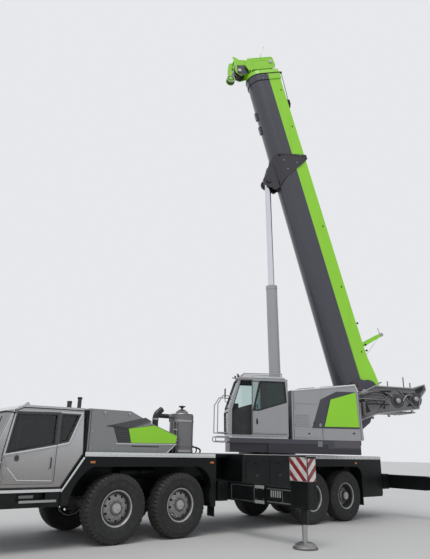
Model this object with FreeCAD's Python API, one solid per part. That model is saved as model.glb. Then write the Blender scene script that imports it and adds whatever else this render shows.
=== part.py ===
import FreeCAD, Part
import math
import os

# A four-axle mobile crane, parked on its outriggers with its telescopic boom raised.
# Millimetres. While it is modelled, X is 0 at the first axle and points forwards, Y points to
# the crane's left and Z is 0 on the ground. write() then moves everything by ORIGIN_X, so that
# the origin lies on the ground under the middle of the whole crane.

V = FreeCAD.Vector
LEFT, RIGHT = 1, -1
SIDES = (LEFT, RIGHT)

# Driving dimensions of the carrier
ORIGIN_X = 3641
BODY_HALF = 1372
DECK_TOP = 1780
DECK_THICK = 80
DECK_BOTTOM = DECK_TOP - DECK_THICK
FENDER_IN = BODY_HALF - 272
FRAME_HALF = 500
FRAME_BOTTOM = 880
FRAME_FRONT = 2450
FRAME_NOSE_BOTTOM = 700
SEAT_GAP = 0.3
RUN_GAP = 6
PIN_GAP = 0.3

# Axles: name of the wheel pair, X of the axle, steered or not
AXLES = (
    ("1", 0, True),
    ("2", -1600, True),
    ("3", -6080, False),
    ("4", -7530, False),
)
KINGPIN_Y = 900
KINGPIN_R = 40
AXLE_TUBE_R = 115
HOUSING_R = 170
SHAFT_R = 45
YOKE_HALF_HEIGHT = 215
YOKE_ARM = 40
YOKE_HALF_LENGTH = 70
STRUT_Y = 400
STRUT_R = 80

# Wheels
TYRE_R = 685
TYRE_HALF_WIDTH = 200
TRACK_HALF = 1150
RIM_SEAT_R = 322
RIM_FLANGE_R = 355
RIM_HALF_WIDTH = 150
RIM_WALL = 14
SPINDLE_R = 60
SPINDLE_END = 50
HAND_HOLES = 10
HAND_HOLE_R = 26
HAND_HOLE_PITCH_R = 245

# Outriggers
CHANNEL_WALL = 16
PAD_LENGTH = 160
BEAM_WIDTH = 260
BEAM_HEIGHT = 400
BEAM_WALL = 12
INNER_BEAM_GAP = 8
SPREAD_HALF = 3650
JACK_CASE_WIDTH = 500
JACK_CASE_BOTTOM = 760
JACK_CASE_TOP = 1780
JACK_TUBE_R = 80
JACK_TUBE_BOTTOM = 450
LEG_R = 55
LEG_TOP = 1150
PAD_R = 212
PAD_FLANGE_R = 250
PAD_FLANGE = 40
PAD_TOP = 130
JACK_STROKE = 300
PLATE_THICK = 12
PLATE_LOW = 1280
PLATE_HIGH = 1770
# Each channel of a box is closed near one side of the body and open short of the other, where
# the drawn-in jack case finds room.
BOX_END = BODY_HALF - 22
BOX_MOUTH = BODY_HALF - JACK_CASE_WIDTH - 22
OUTER_STROKE = 1740
INNER_STROKE = SPREAD_HALF + JACK_CASE_WIDTH / 2 - BODY_HALF - OUTER_STROKE
DECK_NECK = BOX_MOUTH - 20
# Outrigger boxes: name, middle X, underside of the beams, side of the case with the plate
OUTRIGGERS = (
    ("front", -2960, 750, 1),
    ("rear", -9690, 845, -1),
)

# Engine hood
HOOD_HALF = BODY_HALF - 72
HOOD_FRONT = 790
HOOD_TOP = 2650
HOOD_WALL = 30

# Carrier cab
CAB_HALF = BODY_HALF - 32
CAB_WALL = 60
SEAT_Y = CAB_HALF - 580
CAB_FLOOR = 1110
DOOR_GAP = 6
HINGE_X = 2440
HINGE_R = 16
HINGE_PIN_R = 8
HINGE_Y = CAB_HALF + HINGE_R
HINGE_HEIGHTS = (1300, 1600)
HINGE_LENGTH = 40
HINGE_LEAF = 55
GLASS = 8

# Superstructure, in its own frame: X along the boom, Y to its left, slewing axis at 0
SLEW_X = -5600
SLEW_ANGLE = -30
RING_R = 780
RING_TOP = 1900
TABLE_BOTTOM = 1970
TABLE_PLATE = 2080
TABLE_TOP = 2200
SUPER_HALF = 1330
CHEEK_IN = 440
CHEEK_THICK = 60
CHEEK_OUT = CHEEK_IN + CHEEK_THICK
HOUSE_IN = 560

# Boom, in its own frame: X along the boom, Y to its left, Z to its back, foot pin at 0
BOOM_U = -2980
BOOM_Z = 3650
BOOM_ANGLE = 76
BOOM_PIN_R = 80
BOOM_HALF = 420
BOOM_BACK = 460
BOOM_BELLY = -280
BOOM_STEP = 52
BOOM_WALL = 14
BOOM_FOOT = 350
BOOM_MOUTH = 12000
COLLAR_LENGTH = 260
COLLAR_PROUD = 28
SECTION_REST = 80
SECTION_COUNT = 5

# Luffing cylinder
LUFF_FOOT_U = -320
LUFF_FOOT_Z = 2450
LUFF_FOOT_HALF = 150
LUFF_HEAD_S = 7720
LUFF_HEAD_T = -1000
LUFF_PIN_R = 70
BARREL_R = 158
BARREL_BORE_R = 130
BARREL_LENGTH = 4600
GLAND_PROUD = 20
ROD_R = 105
ROD_START = 3800
LUFF_EYE_R = 130
LUFF_EYE_HALF = 120
LUG_GAP = 20
LUG_THICK = 60

# Operator's cab
OPCAB_IN = 560
OPCAB_OUT = SUPER_HALF - 40
OPCAB_WALL = 50
OPDOOR_THICK = 40
OPDOOR_BACK = -290
OPDOOR_FRONT = 750
OPDOOR_TRAVEL = 560


def place(shape, x=0, y=0, z=0):
    moved = shape.copy()
    moved.translate(V(x, y, z))
    return moved


def box(x0, x1, y0, y1, z0, z1):
    low = V(min(x0, x1), min(y0, y1), min(z0, z1))
    return Part.makeBox(abs(x1 - x0), abs(y1 - y0), abs(z1 - z0), low)


def cylinder(centre, axis, radius, length):
    return Part.makeCylinder(radius, length, V(*centre), V(*axis))


def outline(points, to_space):
    """A closed face through points; a point (a, b, a2, b2) is an arc through (a, b) to (a2, b2)."""
    edges = []
    start = points[0][-2:]
    here = start
    for point in list(points[1:]) + [start]:
        there = point[-2:]
        if len(point) == 4:
            edges.append(Part.Arc(to_space(*here), to_space(*point[:2]), to_space(*there)).toShape())
        elif math.dist(here, there) > 1e-6:
            edges.append(Part.LineSegment(to_space(*here), to_space(*there)).toShape())
        here = there
    return Part.Face(Part.Wire(edges))


def side_prism(points, y0, y1):
    """An outline in X and Z, extruded from y0 to y1."""
    low = min(y0, y1)
    face = outline(points, lambda x, z: V(x, low, z))
    return face.extrude(V(0, abs(y1 - y0), 0))


def plan_prism(points, z0, z1):
    """An outline in X and Y, extruded from z0 to z1."""
    face = outline(points, lambda x, y: V(x, y, z0))
    return face.extrude(V(0, 0, z1 - z0))


def cross_prism(points, x0, x1):
    """An outline in Y and Z, extruded from x0 to x1."""
    face = outline(points, lambda y, z: V(x0, y, z))
    return face.extrude(V(x1 - x0, 0, 0))


def turned(points, x, y, z):
    """A profile of (radius, offset) pairs, turned about an axis through (x, y, z) along Y."""
    face = outline(points, lambda r, a: V(x, y + a, z + r))
    return face.revolve(V(x, y, z), V(0, 1, 0), 360)


def strip(start, end, outside, inside):
    """A parallelogram along a stretch of a clockwise outline, between two offsets from it."""
    length = math.dist(start, end)
    nx, nz = (start[1] - end[1]) / length, (end[0] - start[0]) / length
    return (
        (start[0] + nx * outside, start[1] + nz * outside),
        (end[0] + nx * outside, end[1] + nz * outside),
        (end[0] - nx * inside, end[1] - nz * inside),
        (start[0] - nx * inside, start[1] - nz * inside),
    )


def inset(points, gap):
    """A convex outline of straight lines, listed clockwise, moved inwards by gap."""
    moved = []
    count = len(points)
    for i in range(count):
        before, here, after = points[i - 1], points[i], points[(i + 1) % count]
        lines = []
        for a, b in ((before, here), (here, after)):
            length = math.dist(a, b)
            nx, nz = (b[1] - a[1]) / length, (a[0] - b[0]) / length
            lines.append((nx, nz, nx * a[0] + nz * a[1] + gap))
        (a1, b1, c1), (a2, b2, c2) = lines
        det = a1 * b2 - a2 * b1
        moved.append(((c1 * b2 - c2 * b1) / det, (a1 * c2 - a2 * c1) / det))
    return tuple(moved)


def rod_between(start, end, radius):
    """A round bar from one point to another."""
    start, end = V(*start), V(*end)
    return Part.makeCylinder(radius, start.distanceToPoint(end), start, end - start)


def bent_bar(points, radius):
    """A round bar through points, with a ball in each bend."""
    parts = [rod_between(a, b, radius) for a, b in zip(points, points[1:])]
    parts += [Part.makeSphere(radius, V(*point)) for point in points[1:-1]]
    return joined(*parts)


def joined(*shapes):
    whole = shapes[0].fuse(list(shapes[1:])) if len(shapes) > 1 else shapes[0]
    return whole.removeSplitter()


def on_superstructure(shape):
    moved = shape.copy()
    moved.rotate(V(0, 0, 0), V(0, 0, 1), SLEW_ANGLE)
    moved.translate(V(SLEW_X, 0, 0))
    return moved


def on_head(shape):
    return on_boom(place(shape, mouth(SECTION_COUNT - 1)))


def on_boom(shape):
    moved = shape.copy()
    moved.rotate(V(0, 0, 0), V(0, 1, 0), -BOOM_ANGLE)
    moved.translate(V(BOOM_U, 0, BOOM_Z))
    return on_superstructure(moved)


def luff_head():
    """The rod's eye in the superstructure's frame."""
    angle = math.radians(BOOM_ANGLE)
    u = BOOM_U + LUFF_HEAD_S * math.cos(angle) - LUFF_HEAD_T * math.sin(angle)
    z = BOOM_Z + LUFF_HEAD_S * math.sin(angle) + LUFF_HEAD_T * math.cos(angle)
    return u, z


def on_luff(shape):
    """From the cylinder's own frame, foot pin at 0 and rod along X."""
    u, z = luff_head()
    angle = math.degrees(math.atan2(z - LUFF_FOOT_Z, u - LUFF_FOOT_U))
    moved = shape.copy()
    moved.rotate(V(0, 0, 0), V(0, 1, 0), -angle)
    moved.translate(V(LUFF_FOOT_U, 0, LUFF_FOOT_Z))
    return on_superstructure(moved)


def write(node, *solids):
    whole = solids[0] if len(solids) == 1 else Part.makeCompound(list(solids))
    place(whole, ORIGIN_X).exportStep("parts/" + node + ".step")


# Chassis

def box_span(middle):
    """Front and rear faces of an outrigger box, which holds two beams side by side."""
    half = BEAM_WIDTH + 2 * RUN_GAP + 2 * CHANNEL_WALL
    return middle + half, middle - half


def beam_x(middle, side):
    """Middle of the beam: the left one runs in the rear channel, the right one in the front."""
    return middle - side * (BEAM_WIDTH / 2 + RUN_GAP + CHANNEL_WALL)


def box_heights(beam_low):
    low = beam_low - RUN_GAP - CHANNEL_WALL
    high = beam_low + BEAM_HEIGHT + RUN_GAP + CHANNEL_WALL
    return low, high


def body_rear():
    """Rear end of deck and fenders, clear of the drawn-in rear jacks."""
    return box_span(OUTRIGGERS[1][1])[0] + 90


CAB_HEEL = (1280, CAB_FLOOR)
CAB_BACK = (870, 1730)


def chassis_frame():
    rear_end = box_span(OUTRIGGERS[1][1])[0]
    slope = (CAB_HEEL[0] - CAB_BACK[0]) / (CAB_BACK[1] - CAB_HEEL[1])
    shoulder = CAB_HEEL[0] - slope * (DECK_BOTTOM - CAB_HEEL[1])
    side = (
        (FRAME_FRONT, FRAME_NOSE_BOTTOM),
        (FRAME_FRONT, CAB_FLOOR),
        CAB_HEEL,
        (shoulder, DECK_BOTTOM),
        (rear_end, DECK_BOTTOM),
        (rear_end, FRAME_BOTTOM),
        (900, FRAME_BOTTOM),
        (1180, FRAME_NOSE_BOTTOM),
    )
    body = side_prism(side, -FRAME_HALF, FRAME_HALF)
    middle, beam_low = OUTRIGGERS[0][1:3]
    front, rear = box_span(middle)
    low, high = box_heights(beam_low)
    return body.cut(box(rear, front, -FRAME_HALF, FRAME_HALF, low, high))


def outrigger_box(middle, beam_low):
    """Two channels side by side, each with sliding pads inside its mouth."""
    low, high = box_heights(beam_low)
    half = BEAM_WIDTH / 2 + RUN_GAP
    wall = half + CHANNEL_WALL - SEAT_GAP / 2
    boxes = []
    for side in SIDES:
        x = beam_x(middle, side)
        mouth = side * BOX_MOUTH
        shell = box(x - wall, x + wall, -side * BOX_END, mouth, low, high)
        shell = shell.cut(box(x - half, x + half, -side * (BOX_END - CHANNEL_WALL), mouth,
                              low + CHANNEL_WALL, high - CHANNEL_WALL))
        pads = [
            box(x - half, x + half, mouth - side * PAD_LENGTH, mouth, z0, z1)
            for z0, z1 in (
                (low + CHANNEL_WALL, beam_low - SEAT_GAP),
                (beam_low + BEAM_HEIGHT + SEAT_GAP, high - CHANNEL_WALL),
            )
        ]
        boxes.append(joined(shell, *pads))
    return boxes


# Lamp bar at the tail
LAMP_BAR_DEEP = 90
LAMP_BAR_Z = (1400, 1530)
TAIL_LAMPS = (DECK_NECK - 370, DECK_NECK - 230, DECK_NECK - 90)
TAIL_LAMP_R = 52


def rear_post():
    """The rear box is closed upwards by the tail of the frame, as high as the deck."""
    middle, beam_low = OUTRIGGERS[1][1:3]
    front, rear = box_span(middle)
    high = box_heights(beam_low)[1]
    post = box(rear, front, -DECK_NECK, DECK_NECK, high, DECK_BOTTOM)
    bar = box(rear - LAMP_BAR_DEEP, rear + 5, -DECK_NECK, DECK_NECK, *LAMP_BAR_Z)
    lamps = []
    for side in SIDES:
        for y in TAIL_LAMPS:
            start = (rear - LAMP_BAR_DEEP + 5, side * y, sum(LAMP_BAR_Z) / 2)
            lamps.append(cylinder(start, (-1, 0, 0), TAIL_LAMP_R, 20))
    return joined(post, bar, *lamps)


def outer_beam(side, middle, beam_low):
    """First stage, open at both ends: the second stage slides in it."""
    x = beam_x(middle, side)
    half = BEAM_WIDTH / 2
    tip = side * (BOX_MOUTH + 10 + OUTER_STROKE)
    tail = side * (CHANNEL_WALL + 20 - BOX_END + OUTER_STROKE)
    hollow = half - BEAM_WALL
    low, high = beam_low + BEAM_WALL, beam_low + BEAM_HEIGHT - BEAM_WALL
    tube = box(x - half, x + half, tail, tip, beam_low, beam_low + BEAM_HEIGHT)
    tube = tube.cut(box(x - hollow, x + hollow, tail, tip, low, high))
    pads = [
        box(x - hollow, x + hollow, tip - side * 140, tip, z0, z1)
        for z0, z1 in (
            (low, low + INNER_BEAM_GAP - SEAT_GAP),
            (high - INNER_BEAM_GAP + SEAT_GAP, high),
        )
    ]
    return joined(tube, *pads)


def inner_beam(side, middle, beam_low, facing):
    """Second stage with the jack's case at its tip, and the tube that guides the jack's leg."""
    x = beam_x(middle, side)
    half = BEAM_WIDTH / 2 - BEAM_WALL - INNER_BEAM_GAP
    case_in = SPREAD_HALF - JACK_CASE_WIDTH / 2
    case_out = SPREAD_HALF + JACK_CASE_WIDTH / 2
    tail = side * (OUTER_STROKE + INNER_STROKE + CHANNEL_WALL + 50 - BOX_END)
    low = beam_low + BEAM_WALL + INNER_BEAM_GAP
    high = beam_low + BEAM_HEIGHT - BEAM_WALL - INNER_BEAM_GAP
    beam = box(x - half, x + half, tail, side * case_in, low, high)
    deep = BEAM_WIDTH / 2
    case = box(x - deep, x + deep, side * case_in, side * case_out, JACK_CASE_BOTTOM, JACK_CASE_TOP)
    tube = cylinder((x, side * SPREAD_HALF, JACK_TUBE_BOTTOM), (0, 0, 1), JACK_TUBE_R,
                    JACK_CASE_BOTTOM - JACK_TUBE_BOTTOM)
    face = x + facing * deep
    plate = box(face, face + facing * PLATE_THICK, side * case_in, side * case_out, PLATE_LOW,
                PLATE_HIGH)
    whole = joined(beam, case, tube, plate)
    return whole.cut(cylinder((x, side * SPREAD_HALF, JACK_TUBE_BOTTOM), (0, 0, 1),
                              LEG_R + PIN_GAP, LEG_TOP + JACK_STROKE + 20 - JACK_TUBE_BOTTOM))


def jack(side, middle):
    """Leg and pad; a socket over the pad holds the leg's ball."""
    x = beam_x(middle, side)
    profile = (
        (0, 0), (PAD_FLANGE_R, 0), (PAD_FLANGE_R, PAD_FLANGE - 12), (PAD_FLANGE_R - 12, PAD_FLANGE),
        (PAD_R, PAD_FLANGE), (PAD_R, PAD_TOP - 50), (PAD_R - 70, PAD_TOP - 15), (LEG_R + 20, PAD_TOP),
        (LEG_R, PAD_TOP), (LEG_R, LEG_TOP), (0, LEG_TOP),
    )
    face = outline(profile, lambda r, z: V(x + r, side * SPREAD_HALF, z))
    return face.revolve(V(x, side * SPREAD_HALF, 0), V(0, 0, 1), 360)


# Axles and wheels

def axle(x, steered):
    middle_z = TYRE_R
    end = KINGPIN_Y - 110 if steered else TRACK_HALF - 150
    parts = [cylinder((x, -end, middle_z), (0, 1, 0), AXLE_TUBE_R, 2 * end)]
    drive = (
        (HOUSING_R, -160), (HOUSING_R, 160), (AXLE_TUBE_R, 260), (0, 260), (0, -260),
        (AXLE_TUBE_R, -260),
    )
    parts.append(turned(drive, x, 0, middle_z))
    for side in SIDES:
        strut_height = FRAME_BOTTOM - middle_z
        parts.append(cylinder((x, side * STRUT_Y, middle_z), (0, 0, 1), STRUT_R, strut_height))
        if steered:
            parts.append(yoke(x, side))
        else:
            start = V(x, side * end, middle_z)
            length = TRACK_HALF + SPINDLE_END - end
            parts.append(Part.makeCylinder(SPINDLE_R, length, start, V(0, side, 0)))
    return joined(*parts)


def drive_shaft(front, rear):
    """Shaft between two axles' housings, seated on both."""
    start, end = rear + HOUSING_R - 20, front - HOUSING_R + 20
    shaft = cylinder((start, 0, TYRE_R), (1, 0, 0), SHAFT_R, end - start)
    for x, way in ((front, -1), (rear, 1)):
        joint = x + way * (HOUSING_R + 60)
        shaft = joined(shaft, cylinder((joint - 30, 0, TYRE_R), (1, 0, 0), SHAFT_R + 22, 60))
    for x in (front, rear):
        shaft = shaft.cut(cylinder((x, -160, TYRE_R), (0, 1, 0), HOUSING_R + SEAT_GAP, 320))
    return shaft


def yoke(x, side):
    """The fork at the end of a steered axle: two arms that hold the kingpin."""
    low, high = TYRE_R - YOKE_HALF_HEIGHT, TYRE_R + YOKE_HALF_HEIGHT
    back = side * (KINGPIN_Y - 130)
    tip = side * (KINGPIN_Y + YOKE_HALF_LENGTH)
    whole = box(x - YOKE_HALF_LENGTH, x + YOKE_HALF_LENGTH, back, tip, low, high)
    room = box(x - YOKE_HALF_LENGTH, x + YOKE_HALF_LENGTH, back + side * 30, tip,
               low + YOKE_ARM, high - YOKE_ARM)
    bore = cylinder((x, side * KINGPIN_Y, low), (0, 0, 1), KINGPIN_R + PIN_GAP, high - low)
    return whole.cut(room).cut(bore)


def knuckle(x, side):
    half = YOKE_HALF_HEIGHT - YOKE_ARM - 5
    y = side * KINGPIN_Y
    boss = cylinder((x, y, TYRE_R - half), (0, 0, 1), 64, 2 * half)
    pin = cylinder((x, y, TYRE_R - YOKE_HALF_HEIGHT - 10), (0, 0, 1), KINGPIN_R,
                   2 * YOKE_HALF_HEIGHT + 20)
    reach = TRACK_HALF + SPINDLE_END - KINGPIN_Y
    spindle = Part.makeCylinder(SPINDLE_R, reach, V(x, y, TYRE_R), V(0, side, 0))
    arm = box(x - 230, x, y - 22, y + 22, TYRE_R - 150, TYRE_R - 110)
    return joined(boss, pin, spindle, arm)


def tyre(x, side):
    profile = (
        (RIM_SEAT_R, -RIM_HALF_WIDTH), (RIM_SEAT_R, RIM_HALF_WIDTH), (RIM_FLANGE_R + 1, 151),
        (RIM_FLANGE_R + 5, 174), (440, 196), (540, TYRE_HALF_WIDTH), (635, 188), (670, 168),
        (TYRE_R, 130), (TYRE_R, -130), (670, -168), (635, -188), (540, -TYRE_HALF_WIDTH),
        (440, -196), (RIM_FLANGE_R + 5, -174), (RIM_FLANGE_R + 1, -151),
    )
    return turned(profile, x, side * TRACK_HALF, TYRE_R)


def rim(x, side, steered):
    """Rim, disc and hub as one piece. Offsets grow outwards."""
    seat, flange = RIM_SEAT_R - SEAT_GAP, RIM_FLANGE_R
    inner = seat - RIM_WALL
    half, lip = RIM_HALF_WIDTH + 2, RIM_HALF_WIDTH + 18
    ring = (
        (seat, -half), (seat, half), (flange, half), (flange, lip), (flange - 18, lip),
        (inner, half - 12), (inner, -half + 12), (flange - 18, -lip), (flange, -lip), (flange, -half),
    )
    if steered:
        disc = ((inner + 4, 70), (inner + 4, 88), (205, 128), (130, 128), (130, 108), (200, 108))
        hub = ((0, -90), (135, -90), (135, 140), (90, 150), (82, 178), (0, 184))
    else:
        disc = ((inner + 4, -60), (inner + 4, -42), (150, -42), (150, -60))
        hub = ((0, -90), (160, -90), (160, 60), (128, 96), (118, 160), (0, 168))
    y = side * TRACK_HALF

    def turned_out(profile):
        return turned(tuple((r, side * a) for r, a in profile), x, y, TYRE_R)

    whole = joined(turned_out(ring), turned_out(disc), turned_out(hub))
    bore_start = V(x, y - side * 95, TYRE_R)
    depth = 95 + SPINDLE_END + 4
    whole = whole.cut(Part.makeCylinder(SPINDLE_R + PIN_GAP, depth, bore_start, V(0, side, 0)))
    hole = cylinder((x, y - 200, TYRE_R + HAND_HOLE_PITCH_R), (0, 1, 0), HAND_HOLE_R, 400)
    holes = []
    for i in range(HAND_HOLES):
        turn = hole.copy()
        turn.rotate(V(x, y, TYRE_R), V(0, 1, 0), 360 / HAND_HOLES * i)
        holes.append(turn)
    return whole.cut(Part.makeCompound(holes))


# Body of the carrier

def deck_plates():
    front_box, rear_box = box_span(OUTRIGGERS[0][1])
    notch_front, notch_rear = front_box + 90, rear_box - 150
    rear_end = box_span(OUTRIGGERS[1][1])[1]
    tail = body_rear()
    plan = (
        (HOOD_FRONT + 10, -BODY_HALF), (HOOD_FRONT + 10, BODY_HALF), (notch_front, BODY_HALF),
        (notch_front, DECK_NECK), (notch_rear, DECK_NECK), (notch_rear, BODY_HALF),
        (tail, BODY_HALF), (tail, DECK_NECK), (rear_end, DECK_NECK),
        (rear_end, -DECK_NECK), (tail, -DECK_NECK), (tail, -BODY_HALF),
        (notch_rear, -BODY_HALF), (notch_rear, -DECK_NECK), (notch_front, -DECK_NECK),
        (notch_front, -BODY_HALF),
    )
    plate = plan_prism(plan, DECK_BOTTOM, DECK_TOP)
    return plate.cut(box(-800, 600, -460, 460, DECK_BOTTOM, DECK_TOP))


# Mudflaps
FLAP_THICK = 14
FLAP_Z = (400, 650)
REAR_FLAP_X = -8300
REAR_FENDER_IN = 960


def fender_front(side):
    """Wing over both front wheels, down to its rear leg and forward along the cab's heel."""
    front_box = box_span(OUTRIGGERS[0][1])[0]
    rear = front_box + 90
    profile = (
        (780, DECK_BOTTOM), (rear, DECK_BOTTOM), (rear, 620), (rear + 140, 620),
        (rear + 140, 1000), (rear + 250, 1340, rear + 560, 1500),
        (640, 1500), (960, 1220, 1110, 800), (1262, 800), (1262, CAB_FLOOR - 10), (868, 1690),
    )
    return side_prism(profile, side * FENDER_IN, side * BODY_HALF)


def mudflap(side, x, inside):
    """Flap that hangs from a wing's rear leg."""
    return box(x, x + FLAP_THICK, side * inside, side * (BODY_HALF - 12), *FLAP_Z)


def fender_top_front(side):
    """The wing's roof, which reaches inwards to the frame."""
    front_box = box_span(OUTRIGGERS[0][1])[0]
    return box(front_box + 90, 640, side * FRAME_HALF, side * FENDER_IN, 1560, DECK_BOTTOM)


def fender_rear(side):
    tail = body_rear()
    profile = (
        (-5230, DECK_BOTTOM), (-5230, 900), (-5290, 900), (-5290, 1180),
        (-5360, 1390, -5560, 1490), (-8010, 1490), (-8210, 1390, -8270, 1180), (-8270, 620),
        (tail + 40, 620), (tail, 700), (tail, DECK_BOTTOM),
    )
    return side_prism(profile, side * REAR_FENDER_IN, side * BODY_HALF)


def fender_top_rear(side):
    return box(body_rear(), -5230, side * FRAME_HALF, side * REAR_FENDER_IN, 1560, DECK_BOTTOM)


def fenders():
    solids = []
    for side in SIDES:
        front_leg = box_span(OUTRIGGERS[0][1])[0] + 110
        solids.append(joined(fender_front(side), fender_top_front(side),
                             mudflap(side, front_leg, FENDER_IN)))
        solids.append(joined(fender_rear(side), fender_top_rear(side),
                             mudflap(side, REAR_FLAP_X, REAR_FENDER_IN)))
    return solids


LOCKER_DOORS = ((-3520, -4290), (-4350, -5120))
LOCKER_DOOR_Z = (890, 1650)
LOCKER_DOOR_PROUD = 8


def side_lockers():
    front = box_span(OUTRIGGERS[0][1])[1] - 150
    solids = []
    for side in SIDES:
        locker = side_prism(
            ((front, DECK_BOTTOM), (front, 860), (front - 60, 800), (-5150, 800), (-5220, 900),
             (-5220, DECK_BOTTOM)),
            side * FRAME_HALF, side * BODY_HALF,
        )
        y0, y1 = side * (BODY_HALF - 5), side * (BODY_HALF + LOCKER_DOOR_PROUD)
        for x0, x1 in LOCKER_DOORS:
            middle = (x0 + x1) / 2
            locker = joined(locker, box(x0, x1, y0, y1, *LOCKER_DOOR_Z),
                            box(middle - 70, middle + 70, y1 - side, y1 + side * 22, 1560, 1590))
        solids.append(locker)
    return solids


CAB_PROFILE = (
    CAB_HEEL, CAB_BACK, (930, 2640), (2190, 2630), (2350, 2540), (2640, 1720), (2890, 1560),
    (2910, 1300), (2780, CAB_FLOOR),
)
DOOR_OPENING = ((1440, 1190), (1440, 2530), (2310, 2500), (2440, 1700), (2440, 1190))
DOOR_WINDOW = ((1500, 1935), (1500, 2470), (2270, 2445), (2375, 1765))
QUARTER_WINDOW = ((1240, 2000), (1040, 2480), (1385, 2475), (1385, 1965))
SCREEN_START = (2358, 2515)
SCREEN_END = (2625, 1760)
SCREEN_HALF = CAB_HALF - 150


def hinge_ring(side, z, length):
    """One barrel of a door hinge."""
    return cylinder((HINGE_X, side * HINGE_Y, z), (0, 0, 1), HINGE_R, length)


def hinge_leaf(side, x, z, length):
    return box(HINGE_X, x, side * CAB_HALF, side * (CAB_HALF + 8), z, z + length)


def cab_hinges(side):
    """The cab's half of each door hinge: a lower barrel with its leaf and the pin."""
    parts = []
    for z in HINGE_HEIGHTS:
        low = z - HINGE_LENGTH - SEAT_GAP
        parts.append(hinge_ring(side, low, HINGE_LENGTH))
        parts.append(hinge_leaf(side, HINGE_X + HINGE_LEAF, low, HINGE_LENGTH))
        parts.append(cylinder((HINGE_X, side * HINGE_Y, low), (0, 0, 1), HINGE_PIN_R,
                              2 * HINGE_LENGTH + 5))
    return parts


def door_hinges(side):
    """The door's half of each hinge, which sits on the cab's barrel and turns on its pin."""
    parts = []
    for z in HINGE_HEIGHTS:
        parts.append(hinge_ring(side, z, HINGE_LENGTH))
        parts.append(hinge_leaf(side, HINGE_X - HINGE_LEAF, z, HINGE_LENGTH))
    return parts


# On the cab's roof: rails over the doors, a hatch, a lamp, an aerial's foot and a fin
ROOF_RAIL = ((936, 2588), (936, 2614), (2195, 2604), (2336, 2530), (2326, 2514), (2185, 2580))
ROOF_RAIL_PROUD = 14
ROOF_HATCH = ((1060, 1600), CAB_HALF - 920, 2668)
ROOF_LAMP = (1200, CAB_HALF - 190, 48, 2775)
ROOF_AERIAL = (980, CAB_HALF - 190, 42, 2870)
ROOF_FIN = ((2140, 2625), (2060, 2700), (2035, 2705), (1985, 2625))
ROOF_FIN_Y = (CAB_HALF - 250, CAB_HALF - 210)
# Mirrors: the bar's bends, and the cases' heights
MIRROR_BAR = (
    (2345, -30, 2470), (2345, 50, 2470), (2560, 110, 2480), (2740, 165, 2430), (2740, 165, 1780),
    (2650, 60, 1690), (2650, -30, 1690),
)
MIRROR_BAR_R = 15
MIRROR_CASES = ((115, 2000, 2400), (105, 1790, 1965))
MIRROR_X = (2715, 2795)


def roof_fittings():
    parts = []
    for side in SIDES:
        parts.append(side_prism(ROOF_RAIL, side * (CAB_HALF - 5), side * (CAB_HALF + ROOF_RAIL_PROUD)))
    (x0, x1), half, top = ROOF_HATCH
    parts.append(box(x0, x1, -half, half, 2620, top))
    for x, y, radius, top in (ROOF_LAMP, ROOF_AERIAL):
        parts.append(cylinder((x, y, 2620), (0, 0, 1), radius, top - 2620))
    parts.append(side_prism(ROOF_FIN, *ROOF_FIN_Y))
    return parts


def mirror(side):
    bar = bent_bar([(x, side * (CAB_HALF + y), z) for x, y, z in MIRROR_BAR], MIRROR_BAR_R)
    middle = CAB_HALF + MIRROR_BAR[3][1]
    cases = [
        box(*MIRROR_X, side * (middle - half), side * (middle + half), z0, z1)
        for half, z0, z1 in MIRROR_CASES
    ]
    return joined(bar, *cases)


def cab_shell():
    whole = side_prism(CAB_PROFILE, -CAB_HALF, CAB_HALF)
    room = side_prism(inset(CAB_PROFILE, CAB_WALL), -CAB_HALF + CAB_WALL, CAB_HALF - CAB_WALL)
    whole = whole.cut(room)
    for side in SIDES:
        y0, y1 = side * (CAB_HALF - CAB_WALL - 5), side * (CAB_HALF + 5)
        whole = whole.cut(side_prism(DOOR_OPENING, y0, y1))
        whole = whole.cut(side_prism(QUARTER_WINDOW, y0, y1))
        whole = joined(whole, *cab_hinges(side), mirror(side))
    whole = joined(whole, *roof_fittings())
    return whole.cut(side_prism(strip(SCREEN_START, SCREEN_END, 60, 140), -SCREEN_HALF, SCREEN_HALF))


def cab_glass():
    middle = CAB_HALF - CAB_WALL / 2
    solids = []
    for side in SIDES:
        y0, y1 = side * (middle - GLASS / 2), side * (middle + GLASS / 2)
        solids.append(side_prism(QUARTER_WINDOW, y0, y1))
    pane = strip(SCREEN_START, SCREEN_END, -20, 20 + GLASS)
    solids.append(side_prism(pane, -SCREEN_HALF, SCREEN_HALF))
    return solids


def cab_door(side):
    panel = side_prism(inset(DOOR_OPENING, DOOR_GAP), side * (CAB_HALF - CAB_WALL), side * CAB_HALF)
    window = side_prism(DOOR_WINDOW, side * (CAB_HALF - CAB_WALL - 5), side * (CAB_HALF + 5))
    whole = joined(panel.cut(window), *door_hinges(side))
    for z in HINGE_HEIGHTS:
        pin = cylinder((HINGE_X, side * HINGE_Y, z), (0, 0, 1), HINGE_PIN_R + PIN_GAP, HINGE_LENGTH)
        whole = whole.cut(pin)
    return whole


def cab_door_glass(side):
    middle = CAB_HALF - CAB_WALL / 2
    return side_prism(DOOR_WINDOW, side * (middle - GLASS / 2), side * (middle + GLASS / 2))


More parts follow.
